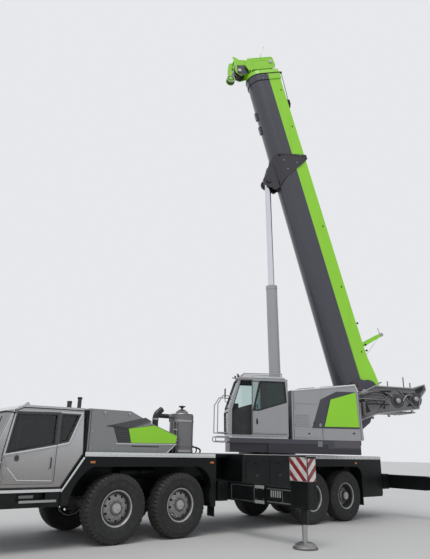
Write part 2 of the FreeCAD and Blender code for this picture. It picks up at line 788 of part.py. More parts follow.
def cab_interior():
    """Two seats, the dashboard and the steering wheel on its column."""
    floor = CAB_FLOOR + CAB_WALL
    solids = []
    for side in SIDES:
        y = side * SEAT_Y
        seat = side_prism(
            ((1290, 1700), (1250, 2350), (1370, 2360), (1450, 1780), (1880, 1760), (1900, 1600),
             (1640, 1600), (1640, floor), (1420, floor), (1420, 1600), (1330, 1600)),
            y - 250, y + 250,
        )
        solids.append(seat)
    dash = side_prism(
        ((2300, floor), (2240, 1600), (2330, 1740), (2540, 1740), (2560, floor)),
        190 - CAB_HALF, CAB_HALF - 190,
    )
    column = Part.makeCylinder(35, 330, V(2310, SEAT_Y, 1600), V(-0.82, 0, 0.57))
    wheel = Part.makeTorus(215, 18, V(2050, SEAT_Y, 1781), V(-0.82, 0, 0.57))
    spoke = Part.makeCylinder(14, 420, V(2050, SEAT_Y - 210, 1781), V(0, 1, 0))
    solids.append(joined(dash, column, spoke, wheel))
    return solids


# On the skirt: step treads, lamp blocks and headlamps
TREAD_X = (1345, 2062)
TREAD_Z = (868, 906)
LAMP_X = (2830, 2890)
LAMP_Y = (CAB_HALF - 520, CAB_HALF - 50)
LAMP_Z = (920, 1085)
HEADLAMPS = (CAB_HALF - 410, CAB_HALF - 210)
HEADLAMP_R = 72


def front_bumper():
    """Black skirt round the cab's foot, with a step cut into each side."""
    skirt = side_prism(
        ((1262, 780), (1262, CAB_FLOOR), (2900, CAB_FLOOR), (2900, 900), (2820, 780)),
        -CAB_HALF, CAB_HALF,
    )
    rear = box(1262, FRAME_FRONT, -FRAME_HALF, FRAME_HALF, 700, CAB_FLOOR)
    skirt = skirt.cut(rear)
    for side in SIDES:
        step = box(1560, 2120, side * (CAB_HALF - 130), side * (CAB_HALF + 5), 905, 1060)
        skirt = skirt.cut(step)
        parts = [box(*TREAD_X, side * (CAB_HALF - 100), side * (CAB_HALF + 18), *TREAD_Z)]
        parts.append(box(*LAMP_X, side * LAMP_Y[0], side * LAMP_Y[1], *LAMP_Z))
        for y in HEADLAMPS:
            parts.append(cylinder((LAMP_X[1] - 5, side * y, sum(LAMP_Z) / 2), (1, 0, 0), HEADLAMP_R, 20))
        skirt = joined(skirt, *parts)
    return skirt


HOOD_PROFILE = (
    (HOOD_FRONT, DECK_TOP), (-1180, DECK_TOP), (-1410, 1990), (-1460, 2170), (-800, 2390),
    (-190, HOOD_TOP), (HOOD_FRONT, HOOD_TOP),
)


# Raised panels on the hood's sides, each with how far it stands out, and vents on its top
HOOD_PANELS = (
    (((384, 2315), (-566, 2532), (-741, 2455), (-149, 2290), (232, 2336)), 5),
    (((-149, 2278), (-815, 2372), (-1436, 2158), (-1398, 2000), (-236, 1984)), 10),
    (((140, 1946), (145, 1972), (-1385, 1990), (-1380, 1962)), 12),
)
HOOD_VENTS = ((600, 420), (360, 180), (120, -60))
HOOD_VENT_HALF = HOOD_HALF - 500


def engine_hood():
    whole = side_prism(HOOD_PROFILE, -HOOD_HALF, HOOD_HALF)
    room = (
        (HOOD_FRONT - HOOD_WALL, DECK_TOP), (-1160, DECK_TOP), (-1380, 1995), (-1425, 2150),
        (-795, 2358), (-196, HOOD_TOP - HOOD_WALL), (HOOD_FRONT - HOOD_WALL, HOOD_TOP - HOOD_WALL),
    )
    whole = whole.cut(side_prism(room, -HOOD_HALF + HOOD_WALL, HOOD_HALF - HOOD_WALL))
    parts = [box(x0, x1, -HOOD_VENT_HALF, HOOD_VENT_HALF, HOOD_TOP - 5, HOOD_TOP + 12)
             for x0, x1 in HOOD_VENTS]
    for side in SIDES:
        for outline_points, proud in HOOD_PANELS:
            parts.append(side_prism(outline_points, side * (HOOD_HALF - 5), side * (HOOD_HALF + proud)))
    whole = joined(whole, *parts)
    return whole.cut(cylinder((STACK_X, STACK_Y, 2000), (0, 0, 1), STACK_R + 12, 600))


# Exhaust stack, whose elbow leans rearwards, and the air cleaner behind the hood
STACK_X = -1075
STACK_Y = BODY_HALF - 472
STACK_R = 70
STACK_TOP = 2560
STACK_BEND = 170
STACK_LEAN = 52
CLEANER_X = -1830
CLEANER_R = 290
CLEANER_TOP = 2680
CROSS_Z = 2625
CROSS_R = 52
RISERS = ((-1495, STACK_Y + 160), (-1560, STACK_Y + 195))
RISER_R = 17


def exhaust():
    stack = cylinder((STACK_X, STACK_Y, DECK_TOP), (0, 0, 1), STACK_R, STACK_TOP - DECK_TOP)
    centre = V(STACK_X, STACK_Y, STACK_TOP)
    ring = Part.Face(Part.Wire(Part.makeCircle(STACK_R, centre, V(0, 0, 1))))
    bend = ring.revolve(centre - V(STACK_BEND, 0, 0), V(0, -1, 0), STACK_LEAN)
    lean = math.radians(STACK_LEAN)
    way = V(-math.sin(lean), 0, math.cos(lean))
    mouth = centre + V(STACK_BEND * (math.cos(lean) - 1), 0, STACK_BEND * math.sin(lean))
    tail = Part.makeCylinder(STACK_R, 130, mouth, way)
    cross = rod_between((STACK_X, STACK_Y, CROSS_Z), (CLEANER_X, STACK_Y, CROSS_Z), CROSS_R)
    cross = cross.cut(cylinder((CLEANER_X, STACK_Y, DECK_TOP), (0, 0, 1), CLEANER_R + SEAT_GAP, 1000))
    whole = joined(stack, bend, tail, cross)
    whole = whole.cut(Part.makeCylinder(STACK_R - 8, 120, mouth + way * 20, way))
    return whole


def risers():
    """Two pipes from the deck to the cross pipe's underside, beside the drum."""
    pipes = []
    for x, y in RISERS:
        pipe = rod_between((x, y, DECK_TOP + SEAT_GAP), (x, y, CROSS_Z - 150), RISER_R)
        over = rod_between((x, y, CROSS_Z - 150), (x, STACK_Y + 20, CROSS_Z - 90), RISER_R)
        ball = Part.makeSphere(RISER_R, V(x, y, CROSS_Z - 150))
        pipes.append(joined(pipe, ball, over))
    tie = box(RISERS[1][0] - 25, RISERS[0][0] + 25, STACK_Y - 20, STACK_Y + 40, CROSS_Z - 120,
              CROSS_Z - CROSS_R - SEAT_GAP)
    drum = cylinder((CLEANER_X, STACK_Y, DECK_TOP), (0, 0, 1), CLEANER_R + SEAT_GAP, 1000)
    return joined(*pipes, tie).cut(drum)


def air_cleaner():
    """Drum with a domed lid and a rain cap on a stem, as one turned piece."""
    profile = (
        (0, DECK_TOP), (CLEANER_R, DECK_TOP), (CLEANER_R, DECK_TOP + 150),
        (CLEANER_R + 8, DECK_TOP + 155), (CLEANER_R + 8, DECK_TOP + 195), (CLEANER_R, DECK_TOP + 200),
        (CLEANER_R, CLEANER_TOP - 20),
        (CLEANER_R - 20, CLEANER_TOP), (160, CLEANER_TOP), (150, CLEANER_TOP + 70),
        (80, CLEANER_TOP + 115), (30, CLEANER_TOP + 125), (26, CLEANER_TOP + 165),
        (82, CLEANER_TOP + 190), (76, CLEANER_TOP + 206), (0, CLEANER_TOP + 215),
    )
    face = outline(profile, lambda r, z: V(CLEANER_X + r, STACK_Y, z))
    return face.revolve(V(CLEANER_X, STACK_Y, 0), V(0, 0, 1), 360)


def deck_equipment():
    return [exhaust(), air_cleaner(), risers()]


def slewing_ring():
    ring = cylinder((SLEW_X, 0, DECK_TOP), (0, 0, 1), RING_R + 60, RING_TOP - DECK_TOP)
    return ring.cut(cylinder((SLEW_X, 0, DECK_TOP), (0, 0, 1), RING_R - 160, RING_TOP - DECK_TOP))


# Superstructure

def turntable():
    collar = cylinder((0, 0, RING_TOP + SEAT_GAP), (0, 0, 1), RING_R, TABLE_PLATE - RING_TOP)
    plate = plan_prism(
        ((-2400, -SUPER_HALF), (-2400, SUPER_HALF), (1380, SUPER_HALF), (1380, HOUSE_IN),
         (700, HOUSE_IN), (700, -CHEEK_OUT), (200, -SUPER_HALF)),
        TABLE_PLATE, TABLE_TOP,
    )
    plinth = box(-2360, -1420, -SUPER_HALF, SUPER_HALF, TABLE_BOTTOM, TABLE_PLATE)
    cheek_side = (
        (560, TABLE_TOP), (480, 2560), (-60, 2740), (-1850, 3080), (-2560, 3900),
        (-2700, 4010, -3010, 4020), (-3330, 3960, -3400, 3620), (-3100, 2760), (-2400, TABLE_TOP),
    )
    foot_lug = (
        (LUFF_FOOT_U - 260, TABLE_TOP), (LUFF_FOOT_U - 130, LUFF_FOOT_Z + 60),
        (LUFF_FOOT_U, LUFF_FOOT_Z + 140, LUFF_FOOT_U + 130, LUFF_FOOT_Z + 60),
        (LUFF_FOOT_U + 260, TABLE_TOP),
    )
    parts = [collar, plate, plinth]
    for side in SIDES:
        parts.append(side_prism(cheek_side, side * CHEEK_IN, side * CHEEK_OUT))
        lug = side * (LUFF_FOOT_HALF + LUG_GAP)
        parts.append(side_prism(foot_lug, lug, lug + side * LUG_THICK))
    parts.append(cylinder((BOOM_U, -CHEEK_OUT - 25, BOOM_Z), (0, 1, 0), BOOM_PIN_R,
                          2 * CHEEK_OUT + 50))
    parts.append(cylinder((LUFF_FOOT_U, -CHEEK_OUT - 25, LUFF_FOOT_Z), (0, 1, 0), LUFF_PIN_R,
                          2 * CHEEK_OUT + 50))
    return joined(*parts)


HOUSE_PROFILE = (
    (-400, TABLE_TOP), (-400, 3530), (-2310, 3760), (-2400, 3560), (-2490, TABLE_TOP + 20),
    (-2400, TABLE_TOP),
)


# Raised panels on the housings' sides, and slats between them
HOUSE_PANELS = (
    ((-1340, 2561), (-2362, 2568), (-2320, 3540), (-1554, 3314)),
    ((-470, 2260), (-1240, 2260), (-1240, 2470), (-470, 2470)),
    ((-470, 3180), (-1130, 3180), (-1300, 3600), (-470, 3500)),
)
RIGHT_PANELS = (
    ((-1340, 2561), (-2330, 2568), (-2290, 3500), (-1554, 3314)),
    ((-300, 2260), (-1240, 2260), (-1240, 2470), (-300, 2470)),
)
PANEL_PROUD = 10
HOUSE_LOUVRES = (2560, 2620, 2680, 2740, 2800, 2860)
LOUVRE_U = (-500, -900)
LOUVRE_PROUD = 14


def machinery_housing():
    right = (
        (-150, TABLE_TOP), (-150, 3050), (-600, 3420), (-2310, 3560), (-2400, 3460),
        (-2400, TABLE_TOP),
    )
    solids = []
    for side, profile, panels in ((LEFT, HOUSE_PROFILE, HOUSE_PANELS), (RIGHT, right, RIGHT_PANELS)):
        parts = [side_prism(profile, side * HOUSE_IN, side * SUPER_HALF)]
        for panel in panels:
            parts.append(side_prism(panel, side * (SUPER_HALF - 5), side * (SUPER_HALF + PANEL_PROUD)))
        for z in HOUSE_LOUVRES:
            slat = ((LOUVRE_U[0], z), (LOUVRE_U[1], z), (LOUVRE_U[1], z + 25), (LOUVRE_U[0], z + 25))
            parts.append(side_prism(slat, side * (SUPER_HALF - 5), side * (SUPER_HALF + LOUVRE_PROUD)))
        solids.append(joined(*parts))
    return solids


OPCAB_PROFILE = (
    (-290, TABLE_TOP), (-230, 3860), (1090, 3850), (1400, 2950), (1380, TABLE_TOP),
)
OPCAB_DOORWAY = ((290, 2300), (290, 3760), (1050, 3760), (1290, 2960), (1290, 2300))
OPDOOR_Z = (2290, 3800)
OPDOOR_WINDOW = ((-230, 3200), (-190, 3740), (480, 3740), (700, 2960), (560, 2960))


# On the operator's cab: handrails in front of the screen, bars along the roof, a step
HANDRAIL = ((1365, 2330), (1700, 2340), (1700, 3100), (1560, 3330), (1258, 3320))
HANDRAIL_V = (OPCAB_IN + 30, OPCAB_OUT - 30)
HANDRAIL_R = 14
ROOF_BAR = ((-160, 3840), (-160, 3995), (960, 3975), (1040, 3830))
ROOF_BAR_V = (OPCAB_IN + 80, (OPCAB_IN + OPCAB_OUT) / 2, OPCAB_OUT - 80)
CAB_STEP_U = (1370, 1740)
CAB_STEP_Z = (2205, 2240)


def operator_cab():
    whole = side_prism(OPCAB_PROFILE, OPCAB_IN, OPCAB_OUT)
    room = side_prism(inset(OPCAB_PROFILE, OPCAB_WALL), OPCAB_IN + OPCAB_WALL, OPCAB_OUT - OPCAB_WALL)
    whole = whole.cut(room)
    whole = whole.cut(side_prism(OPCAB_DOORWAY, OPCAB_OUT - OPCAB_WALL - 5, OPCAB_OUT + 5))
    whole = whole.cut(side_prism(inset(OPCAB_DOORWAY, 40), OPCAB_IN - 5, OPCAB_IN + OPCAB_WALL + 5))
    for start, end in OPCAB_SCREENS:
        opening = side_prism(strip(start, end, 60, 90), OPCAB_IN + 60, OPCAB_OUT - 60)
        whole = whole.cut(opening)
    rails = []
    for z0, z1 in ((OPDOOR_Z[0] - 30, OPDOOR_Z[0] - SEAT_GAP), (OPDOOR_Z[1] + SEAT_GAP, OPDOOR_Z[1] + 30)):
        rails.append(box(OPDOOR_BACK, OPDOOR_FRONT + OPDOOR_TRAVEL, OPCAB_OUT,
                         OPCAB_OUT + RUN_GAP + OPDOOR_THICK, z0, z1))
    parts = [box(*CAB_STEP_U, OPCAB_IN + 100, OPCAB_OUT - 60, *CAB_STEP_Z)]
    for v in HANDRAIL_V:
        parts.append(bent_bar([(u, v, z) for u, z in HANDRAIL], HANDRAIL_R))
    for v in ROOF_BAR_V:
        parts.append(bent_bar([(u, v, z) for u, z in ROOF_BAR], HANDRAIL_R))
    return joined(whole, *rails, *parts)


# Panes that run across the operator's cab: upper screen, lower screen, rear window
OPCAB_SCREENS = (
    ((1115, 3778), (1378, 3014)),
    ((1398, 2880), (1384, 2330)),
    ((-242, 3150), (-234, 3740)),
)


def operator_cab_glass():
    solids = []
    for start, end in OPCAB_SCREENS:
        pane = side_prism(strip(start, end, -15, 15 + GLASS), OPCAB_IN + 60, OPCAB_OUT - 60)
        solids.append(pane)
    right = OPCAB_IN + OPCAB_WALL / 2
    solids.append(side_prism(inset(OPCAB_DOORWAY, 40), right - GLASS / 2, right + GLASS / 2))
    return solids


def operator_door():
    y0 = OPCAB_OUT + RUN_GAP
    panel = box(OPDOOR_BACK, OPDOOR_FRONT, y0, y0 + OPDOOR_THICK, *OPDOOR_Z)
    return panel.cut(side_prism(OPDOOR_WINDOW, y0 - 5, y0 + OPDOOR_THICK + 5))


def operator_door_glass():
    y0 = OPCAB_OUT + RUN_GAP + OPDOOR_THICK / 2
    return side_prism(OPDOOR_WINDOW, y0 - GLASS / 2, y0 + GLASS / 2)


def operator_seat():
    floor = TABLE_TOP + OPCAB_WALL
    middle = (OPCAB_IN + OPCAB_OUT) / 2
    parts = [side_prism(
        ((-20, 2700), (-60, 3400), (60, 3410), (140, 2790), (560, 2770), (580, 2640), (400, 2640),
         (400, floor), (100, floor), (100, 2640), (30, 2640)),
        middle - 240, middle + 240,
    )]
    for side in SIDES:
        v = middle + side * 210
        parts.append(box(120, 600, v - 45, v + 45, 2770, 2950))
        parts.append(rod_between((520, v, 2940), (545, v, 3080), 14))
        parts.append(Part.makeSphere(26, V(547, v, 3090)))
    return joined(*parts)


# Winches behind the boom's foot: middle of each drum along the superstructure, and its height
DRUMS = (
    (-4020, 3430),
    (-4620, 3500),
)
WINCH_THICK = 40
DRUM_R = 210
DRUM_FLANGE_R = 270
MOTOR_R = 150


# Stiffeners on the winch frame's sides, posts on its top edge and pipes along it
WINCH_RIBS = (
    ((-3320, 3826), (-4530, 3796), (-4530, 3832), (-3300, 3862)),
    ((-3310, 3010), (-4700, 3200), (-4700, 3236), (-3310, 3046)),
    ((-3330, 3060), (-3960, 3790), (-4010, 3790), (-3380, 3060)),
    ((-4560, 3220), (-4020, 3790), (-4070, 3790), (-4610, 3220)),
)
WINCH_RIB_PROUD = 30
WINCH_POSTS = ((-4280, 3800, 4165), (-4495, 3800, 3995))
WINCH_PIPES_Z = (3500, 3570)
WINCH_PIPES_U = (-2620, -3560)


def winch_frame():
    side_view = (
        (-2500, 2700), (-2450, 3500), (-2700, 3560), (-3300, 3860), (-4540, 3830), (-4960, 3960),
        (-4990, 3780), (-4760, 3500), (-4700, 3200), (-3300, 3010),
    )
    plates = [
        side_prism(side_view, side * (CHEEK_OUT), side * (CHEEK_OUT + WINCH_THICK))
        for side in SIDES
    ]
    floor = box(-4600, -3460, -CHEEK_OUT, CHEEK_OUT, 3080, 3110)
    tie = cylinder((-4880, -CHEEK_OUT, 3850), (0, 1, 0), 45, 2 * CHEEK_OUT)
    reach = CHEEK_OUT + WINCH_THICK
    parts = []
    for side in SIDES:
        for rib in WINCH_RIBS:
            parts.append(side_prism(rib, side * (reach - 5), side * (reach + WINCH_RIB_PROUD)))
        for u, low, high in WINCH_POSTS:
            parts.append(cylinder((u, side * (CHEEK_OUT + WINCH_THICK / 2), low), (0, 0, 1), 18, high - low))
        for z in WINCH_PIPES_Z:
            parts.append(rod_between((WINCH_PIPES_U[0], side * (reach + 8), z),
                                     (WINCH_PIPES_U[1], side * (reach + 8), z), 14))
    whole = joined(*plates, floor, tie, *parts)
    return whole.cut(cylinder((BOOM_U, -reach, BOOM_Z), (0, 1, 0), BOOM_PIN_R + 25, 2 * reach))


def winch_drums():
    solids = []
    for u, z in DRUMS:
        end = CHEEK_OUT
        profile = (
            (0, -end), (MOTOR_R, -end), (MOTOR_R, -430), (DRUM_FLANGE_R, -430),
            (DRUM_FLANGE_R, -400), (DRUM_R, -400), (DRUM_R, 400), (DRUM_FLANGE_R, 400),
            (DRUM_FLANGE_R, 430), (MOTOR_R, 430), (MOTOR_R, end), (0, end),
        )
        solids.append(turned(profile, u, 0, z))
    return solids


# Boom

def boom_outline(level, grow=0):
    """The section's shape: flat back and sides over a half-round belly."""
    half = BOOM_HALF - BOOM_STEP * level + grow
    back = BOOM_BACK - BOOM_STEP * level + grow
    return (
        (half, BOOM_BELLY), (half, back), (-half, back), (-half, BOOM_BELLY),
        (0, BOOM_BELLY - half, half, BOOM_BELLY),
    )


def boom_tube(level, start, end):
    outer = cross_prism(boom_outline(level), start, end)
    return outer.cut(cross_prism(boom_outline(level, -BOOM_WALL), start, end))


def boom_collar(level, end):
    """Stiffening ring at a section's mouth with the pads that guide the next section."""
    start = end - COLLAR_LENGTH
    ring = cross_prism(boom_outline(level, COLLAR_PROUD if level == 0 else 0), start, end)
    ring = ring.cut(cross_prism(boom_outline(level, -BOOM_WALL), start, end))
    parts = [ring]
    half = BOOM_HALF - BOOM_STEP * level - BOOM_WALL
    back = BOOM_BACK - BOOM_STEP * level - BOOM_WALL
    next_half = BOOM_HALF - BOOM_STEP * (level + 1) + SEAT_GAP
    next_back = BOOM_BACK - BOOM_STEP * (level + 1) + SEAT_GAP
    pad_start = end - COLLAR_LENGTH + 40
    for side in SIDES:
        parts.append(box(pad_start, end - 20, side * next_half, side * half, -200, 100))
        middle = side * next_half * 0.5
        parts.append(box(pad_start, end - 20, middle - 60, middle + 60, next_back, back))
    return parts


def mouth(level):
    return BOOM_MOUTH + SECTION_REST * level


# The band that carries the cylinder's rod eye: its edge seen from the side, and its two lugs
SADDLE_PROUD = 30
SADDLE_SIDE = (
    (8230, BOOM_BACK + 60), (8400, BOOM_BACK + 60), (8620, -520), (8520, -820), (7300, -820),
    (7660, -430), (8020, 210),
)
SADDLE_LUG = (
    (8500, -640), (8380, -820), (LUFF_HEAD_S + 170, LUFF_HEAD_T - 90),
    (LUFF_HEAD_S + 10, LUFF_HEAD_T - 210, LUFF_HEAD_S - 170, LUFF_HEAD_T - 90),
    (7350, -820), (7420, -640),
)


# On the base section: brackets with a guide rod along the back, and brackets under the belly
BACK_BRACKETS = ((2600, 2720), (5200, 5320), (7000, 7120), (9200, 9320), (10450, 10750), (11800, 11900))
BACK_ROD_T = 500
BACK_ROD_R = 16
BELLY_BRACKETS = ((9700, 10000), (10300, 10600))


def boom_base():
    parts = [boom_tube(0, BOOM_FOOT, mouth(0))]
    parts += boom_collar(0, mouth(0))
    foot = (
        (BOOM_FOOT + 100, -330), (BOOM_FOOT + 100, 330), (120, 190), (-160, 110),
        (-190, 0, -160, -110), (120, -190),
    )
    for side in SIDES:
        lug = side_prism(foot, side * (BOOM_HALF - 90), side * BOOM_HALF)
        parts.append(lug.cut(cylinder((0, -BOOM_HALF, 0), (0, 1, 0), BOOM_PIN_R + PIN_GAP, 2 * BOOM_HALF)))
    bulkhead = cross_prism(boom_outline(0, -BOOM_WALL), BOOM_FOOT, BOOM_FOOT + 20)
    parts.append(bulkhead)
    inside = cross_prism(boom_outline(0), 7000, 8900)
    band = cross_prism(boom_outline(0, SADDLE_PROUD), 7000, 8900).cut(inside)
    parts.append(band.common(side_prism(SADDLE_SIDE, -BOOM_HALF - 100, BOOM_HALF + 100)))
    for side in SIDES:
        start = side * (LUFF_EYE_HALF + LUG_GAP)
        lug = side_prism(SADDLE_LUG, start, start + side * LUG_THICK)
        parts.append(lug.cut(inside))
        parts.append(cylinder((LUFF_HEAD_S, start + side * LUG_THICK, LUFF_HEAD_T), (0, side, 0), LUFF_PIN_R, 30))
    arm = ((1350, BOOM_BACK - 5), (1500, BOOM_BACK - 5), (1720, 1330), (1620, 1370))
    for side in SIDES:
        parts.append(side_prism(arm, side * 150, side * 170))
    parts.append(cylinder((1660, -170, 1330), (0, 1, 0), 50, 340))
    for s0, s1 in BACK_BRACKETS:
        parts.append(box(s0, s1, -45, 45, BOOM_BACK - 8, BACK_ROD_T + 28))
    parts.append(rod_between((BACK_BRACKETS[0][0] + 60, 0, BACK_ROD_T),
                             (BACK_BRACKETS[-1][1] - 40, 0, BACK_ROD_T), BACK_ROD_R))
    for s0, s1 in BELLY_BRACKETS:
        parts.append(box(s0, s1, -60, 60, BOOM_BELLY - BOOM_HALF + 10, BOOM_BELLY - BOOM_HALF - 60))
    return joined(*parts)


def boom_section(level):
    start = BOOM_FOOT + 150 + 60 * level
    parts = [boom_tube(level, start, mouth(level))]
    if level < SECTION_COUNT - 1:
        parts += boom_collar(level, mouth(level))
    return joined(*parts)


# The head, drawn from the innermost section's mouth.
# Its sheave pins: place along and across the boom, and the sheaves' radius.
HEAD_PINS = (
    (100, -930, 230),
    (300, 330, 170),
)
SHEAVE_COUNT = 3
HEAD_FLOOR_S = -70
HEAD_FLOOR_T = (-530, -500)
HEAD_BACK_T = 400
HEAD_LENGTH = 530
HEAD_HALF = 300
HEAD_PLATE = 30
HEAD_NOSE_HALF = 190
SHEAVE_PITCH = 90
HEAD_PIN_R = 45
AUX_PIN = (-150, -1310, 160)
AUX_HALF = 60


GUIDE_ROLLER = (530, -1050, 45)
HEAD_MAST = ((515, 0), (950, 190))
MAST_R = 16


def boom_head():
    """Head frame on the innermost section: side plates with a narrower nose for the sheaves."""
    cheek = (
        (0, -560), (0, 320), (90, 460), (470, 460), (530, 400), (530, -560),
        (240, -700), (-20, -600),
    )
    nose = (
        (-70, -500), (-20, -600), (-120, -880), (10, -1060, 240, -1080), (560, -1010),
        (600, -900), (530, -500),
    )
    parts = [box(0, 60, -HEAD_HALF, HEAD_HALF, -520, 320)]
    for side in SIDES:
        parts.append(side_prism(cheek, side * (HEAD_HALF - HEAD_PLATE), side * HEAD_HALF))
        parts.append(side_prism(nose, side * (HEAD_NOSE_HALF - HEAD_PLATE), side * HEAD_NOSE_HALF))
    parts.append(box(HEAD_FLOOR_S, HEAD_LENGTH, -HEAD_HALF, HEAD_HALF, *HEAD_FLOOR_T))
    parts.append(box(HEAD_LENGTH - HEAD_PLATE, HEAD_LENGTH, -HEAD_HALF, HEAD_HALF, HEAD_FLOOR_T[0], HEAD_BACK_T))
    nose_pin, back_pin = HEAD_PINS
    parts.append(cylinder((nose_pin[0], -HEAD_NOSE_HALF - 20, nose_pin[1]), (0, 1, 0), HEAD_PIN_R,
                          2 * HEAD_NOSE_HALF + 40))
    parts.append(cylinder((back_pin[0], -HEAD_HALF - 20, back_pin[1]), (0, 1, 0), HEAD_PIN_R,
                          2 * HEAD_HALF + 40))
    aux = (
        (540, -1000), (540, -1230), (380, -1290), (-90, -1390), (-230, -1360),
        (-240, -1250), (320, -1180), (320, -1060),
    )
    for side in SIDES:
        parts.append(side_prism(aux, side * AUX_HALF, side * (AUX_HALF + 20)))
    parts.append(box(380, 520, -HEAD_NOSE_HALF, HEAD_NOSE_HALF, -1060, -1030))
    parts.append(cylinder((AUX_PIN[0], -AUX_HALF - 35, AUX_PIN[1]), (0, 1, 0), 30, 2 * AUX_HALF + 70))
    s, t, radius = GUIDE_ROLLER
    parts.append(cylinder((s, -HEAD_NOSE_HALF, t), (0, 1, 0), radius, 2 * HEAD_NOSE_HALF))
    (s0, t0), (s1, t1) = HEAD_MAST
    parts.append(rod_between((s0, 0, t0), (s1, 0, t1), MAST_R))
    return joined(*parts)


def head_sheaves():
    solids = []
    for s, t, radius in HEAD_PINS:
        for i in range(SHEAVE_COUNT):
            solids.append(sheave(s, SHEAVE_PITCH * (i - (SHEAVE_COUNT - 1) / 2), t, radius, HEAD_PIN_R))
    s, t, radius = AUX_PIN
    solids.append(sheave(s, 0, t, radius, 30))
    return solids


def sheave(s, y, t, radius, pin):
    half = 26
    profile = (
        (pin + PIN_GAP, -half), (radius, -half), (radius - 24, 0), (radius, half),
        (pin + PIN_GAP, half),
    )
    return turned(profile, s, y, t)


# Luffing cylinder

# Feed pipe along the cylinder's barrel and its clamps
FEED_R = 15
FEED_GAP = 7
FEED_X = (520, 4300)
FEED_CLAMPS = (700, 1700, 2700, 3700)


def luff_barrel():
    foot = LUFF_FOOT_HALF
    eye = cylinder((0, -foot, 0), (0, 1, 0), 170, 2 * foot)
    tube = cylinder((100, 0, 0), (1, 0, 0), BARREL_R, BARREL_LENGTH - 100)
    gland = cylinder((BARREL_LENGTH - 150, 0, 0), (1, 0, 0), BARREL_R + GLAND_PROUD, 150)
    offset = (BARREL_R + FEED_R + FEED_GAP) * math.sqrt(0.5)
    feed = rod_between((FEED_X[0], offset, offset), (FEED_X[1], offset, offset), FEED_R)
    port = box(FEED_X[1] - 60, FEED_X[1] + 40, 60, offset + 20, 60, offset + 20)
    clamps = [cylinder((x, 0, 0), (1, 0, 0), BARREL_R + GLAND_PROUD - 6, 45) for x in FEED_CLAMPS]
    blocks = [box(x, x + 45, 60, offset + 22, 60, offset + 22) for x in FEED_CLAMPS]
    whole = joined(eye, tube, gland, feed, port, *clamps, *blocks)
    whole = whole.cut(cylinder((280, 0, 0), (1, 0, 0), BARREL_BORE_R, BARREL_LENGTH - 430))
    whole = whole.cut(cylinder((280, 0, 0), (1, 0, 0), ROD_R + PIN_GAP, BARREL_LENGTH))
    return whole.cut(cylinder((0, -foot, 0), (0, 1, 0), LUFF_PIN_R + PIN_GAP, 2 * foot))


def luff_rod():
    u, z = luff_head()
    length = math.dist((u, z), (LUFF_FOOT_U, LUFF_FOOT_Z))
    piston = cylinder((ROD_START, 0, 0), (1, 0, 0), BARREL_BORE_R - 1, 200)
    rod = cylinder((ROD_START, 0, 0), (1, 0, 0), ROD_R, length - ROD_START - 60)
    eye = cylinder((length, -LUFF_EYE_HALF, 0), (0, 1, 0), LUFF_EYE_R, 2 * LUFF_EYE_HALF)
    whole = joined(piston, rod, eye)
    return whole.cut(cylinder((length, -LUFF_EYE_HALF, 0), (0, 1, 0), LUFF_PIN_R, 2 * LUFF_EYE_HALF))


def main():
    os.makedirs("parts", exist_ok=True)
    write("chassis_frame", chassis_frame())
    write("outrigger_boxes", *outrigger_box(*OUTRIGGERS[0][1:3]), *outrigger_box(*OUTRIGGERS[1][1:3]),
          rear_post())
    write("deck_plates", deck_plates())
    write("fenders", *fenders())
    write("side_lockers", *side_lockers())
    write("cab_shell", cab_shell())
    write("cab_glass", *cab_glass())
    write("cab_interior", *cab_interior())
    write("front_bumper", front_bumper())
    write("engine_hood", engine_hood())
    write("engine_block", box(-750, 550, -420, 420, DECK_BOTTOM, 2350))
    write("deck_equipment", *deck_equipment())
    write("slewing_ring", slewing_ring())
    places = [x for _, x, _ in AXLES]
    shafts = [drive_shaft(*places[:2]), drive_shaft(*places[2:])]
    write("axles", *[axle(x, steered) for _, x, steered in AXLES], *shafts)
    for side, word in ((LEFT, "left"), (RIGHT, "right")):
        write("cab_door_" + word, cab_door(side))
        write("cab_door_glass_" + word, cab_door_glass(side))
        for name, x, steered in AXLES:
            write("wheel_" + name + "_" + word, tyre(x, side), rim(x, side, steered))
            if steered:
                write("knuckle_" + name + "_" + word, knuckle(x, side))
        for name, middle, beam_low, facing in OUTRIGGERS:
            tag = name + "_" + word
            write("outrigger_beam_" + tag, outer_beam(side, middle, beam_low))
            write("outrigger_tip_" + tag, inner_beam(side, middle, beam_low, facing))
            write("jack_" + tag, jack(side, middle))
    write("turntable", on_superstructure(turntable()))
    write("machinery_housing", *[on_superstructure(solid) for solid in machinery_housing()])
    write("operator_cab", on_superstructure(operator_cab()))
    write("operator_cab_glass", *[on_superstructure(solid) for solid in operator_cab_glass()])
    write("operator_seat", on_superstructure(operator_seat()))
    write("operator_door", on_superstructure(operator_door()))
    write("operator_door_glass", on_superstructure(operator_door_glass()))
    write("winch_frame", on_superstructure(winch_frame()))
    write("winch_drums", *[on_superstructure(solid) for solid in winch_drums()])
    write("boom_base", on_boom(boom_base()))
    for level in range(1, SECTION_COUNT):
        write("boom_section_" + str(level + 1), on_boom(boom_section(level)))
    write("boom_head", on_head(boom_head()))
    write("head_sheaves", *[on_head(solid) for solid in head_sheaves()])
    write("luff_barrel", on_luff(luff_barrel()))
    write("luff_rod", on_luff(luff_rod()))


main()
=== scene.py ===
import math
import random
import bmesh
import bpy
from mathutils import Matrix, Vector


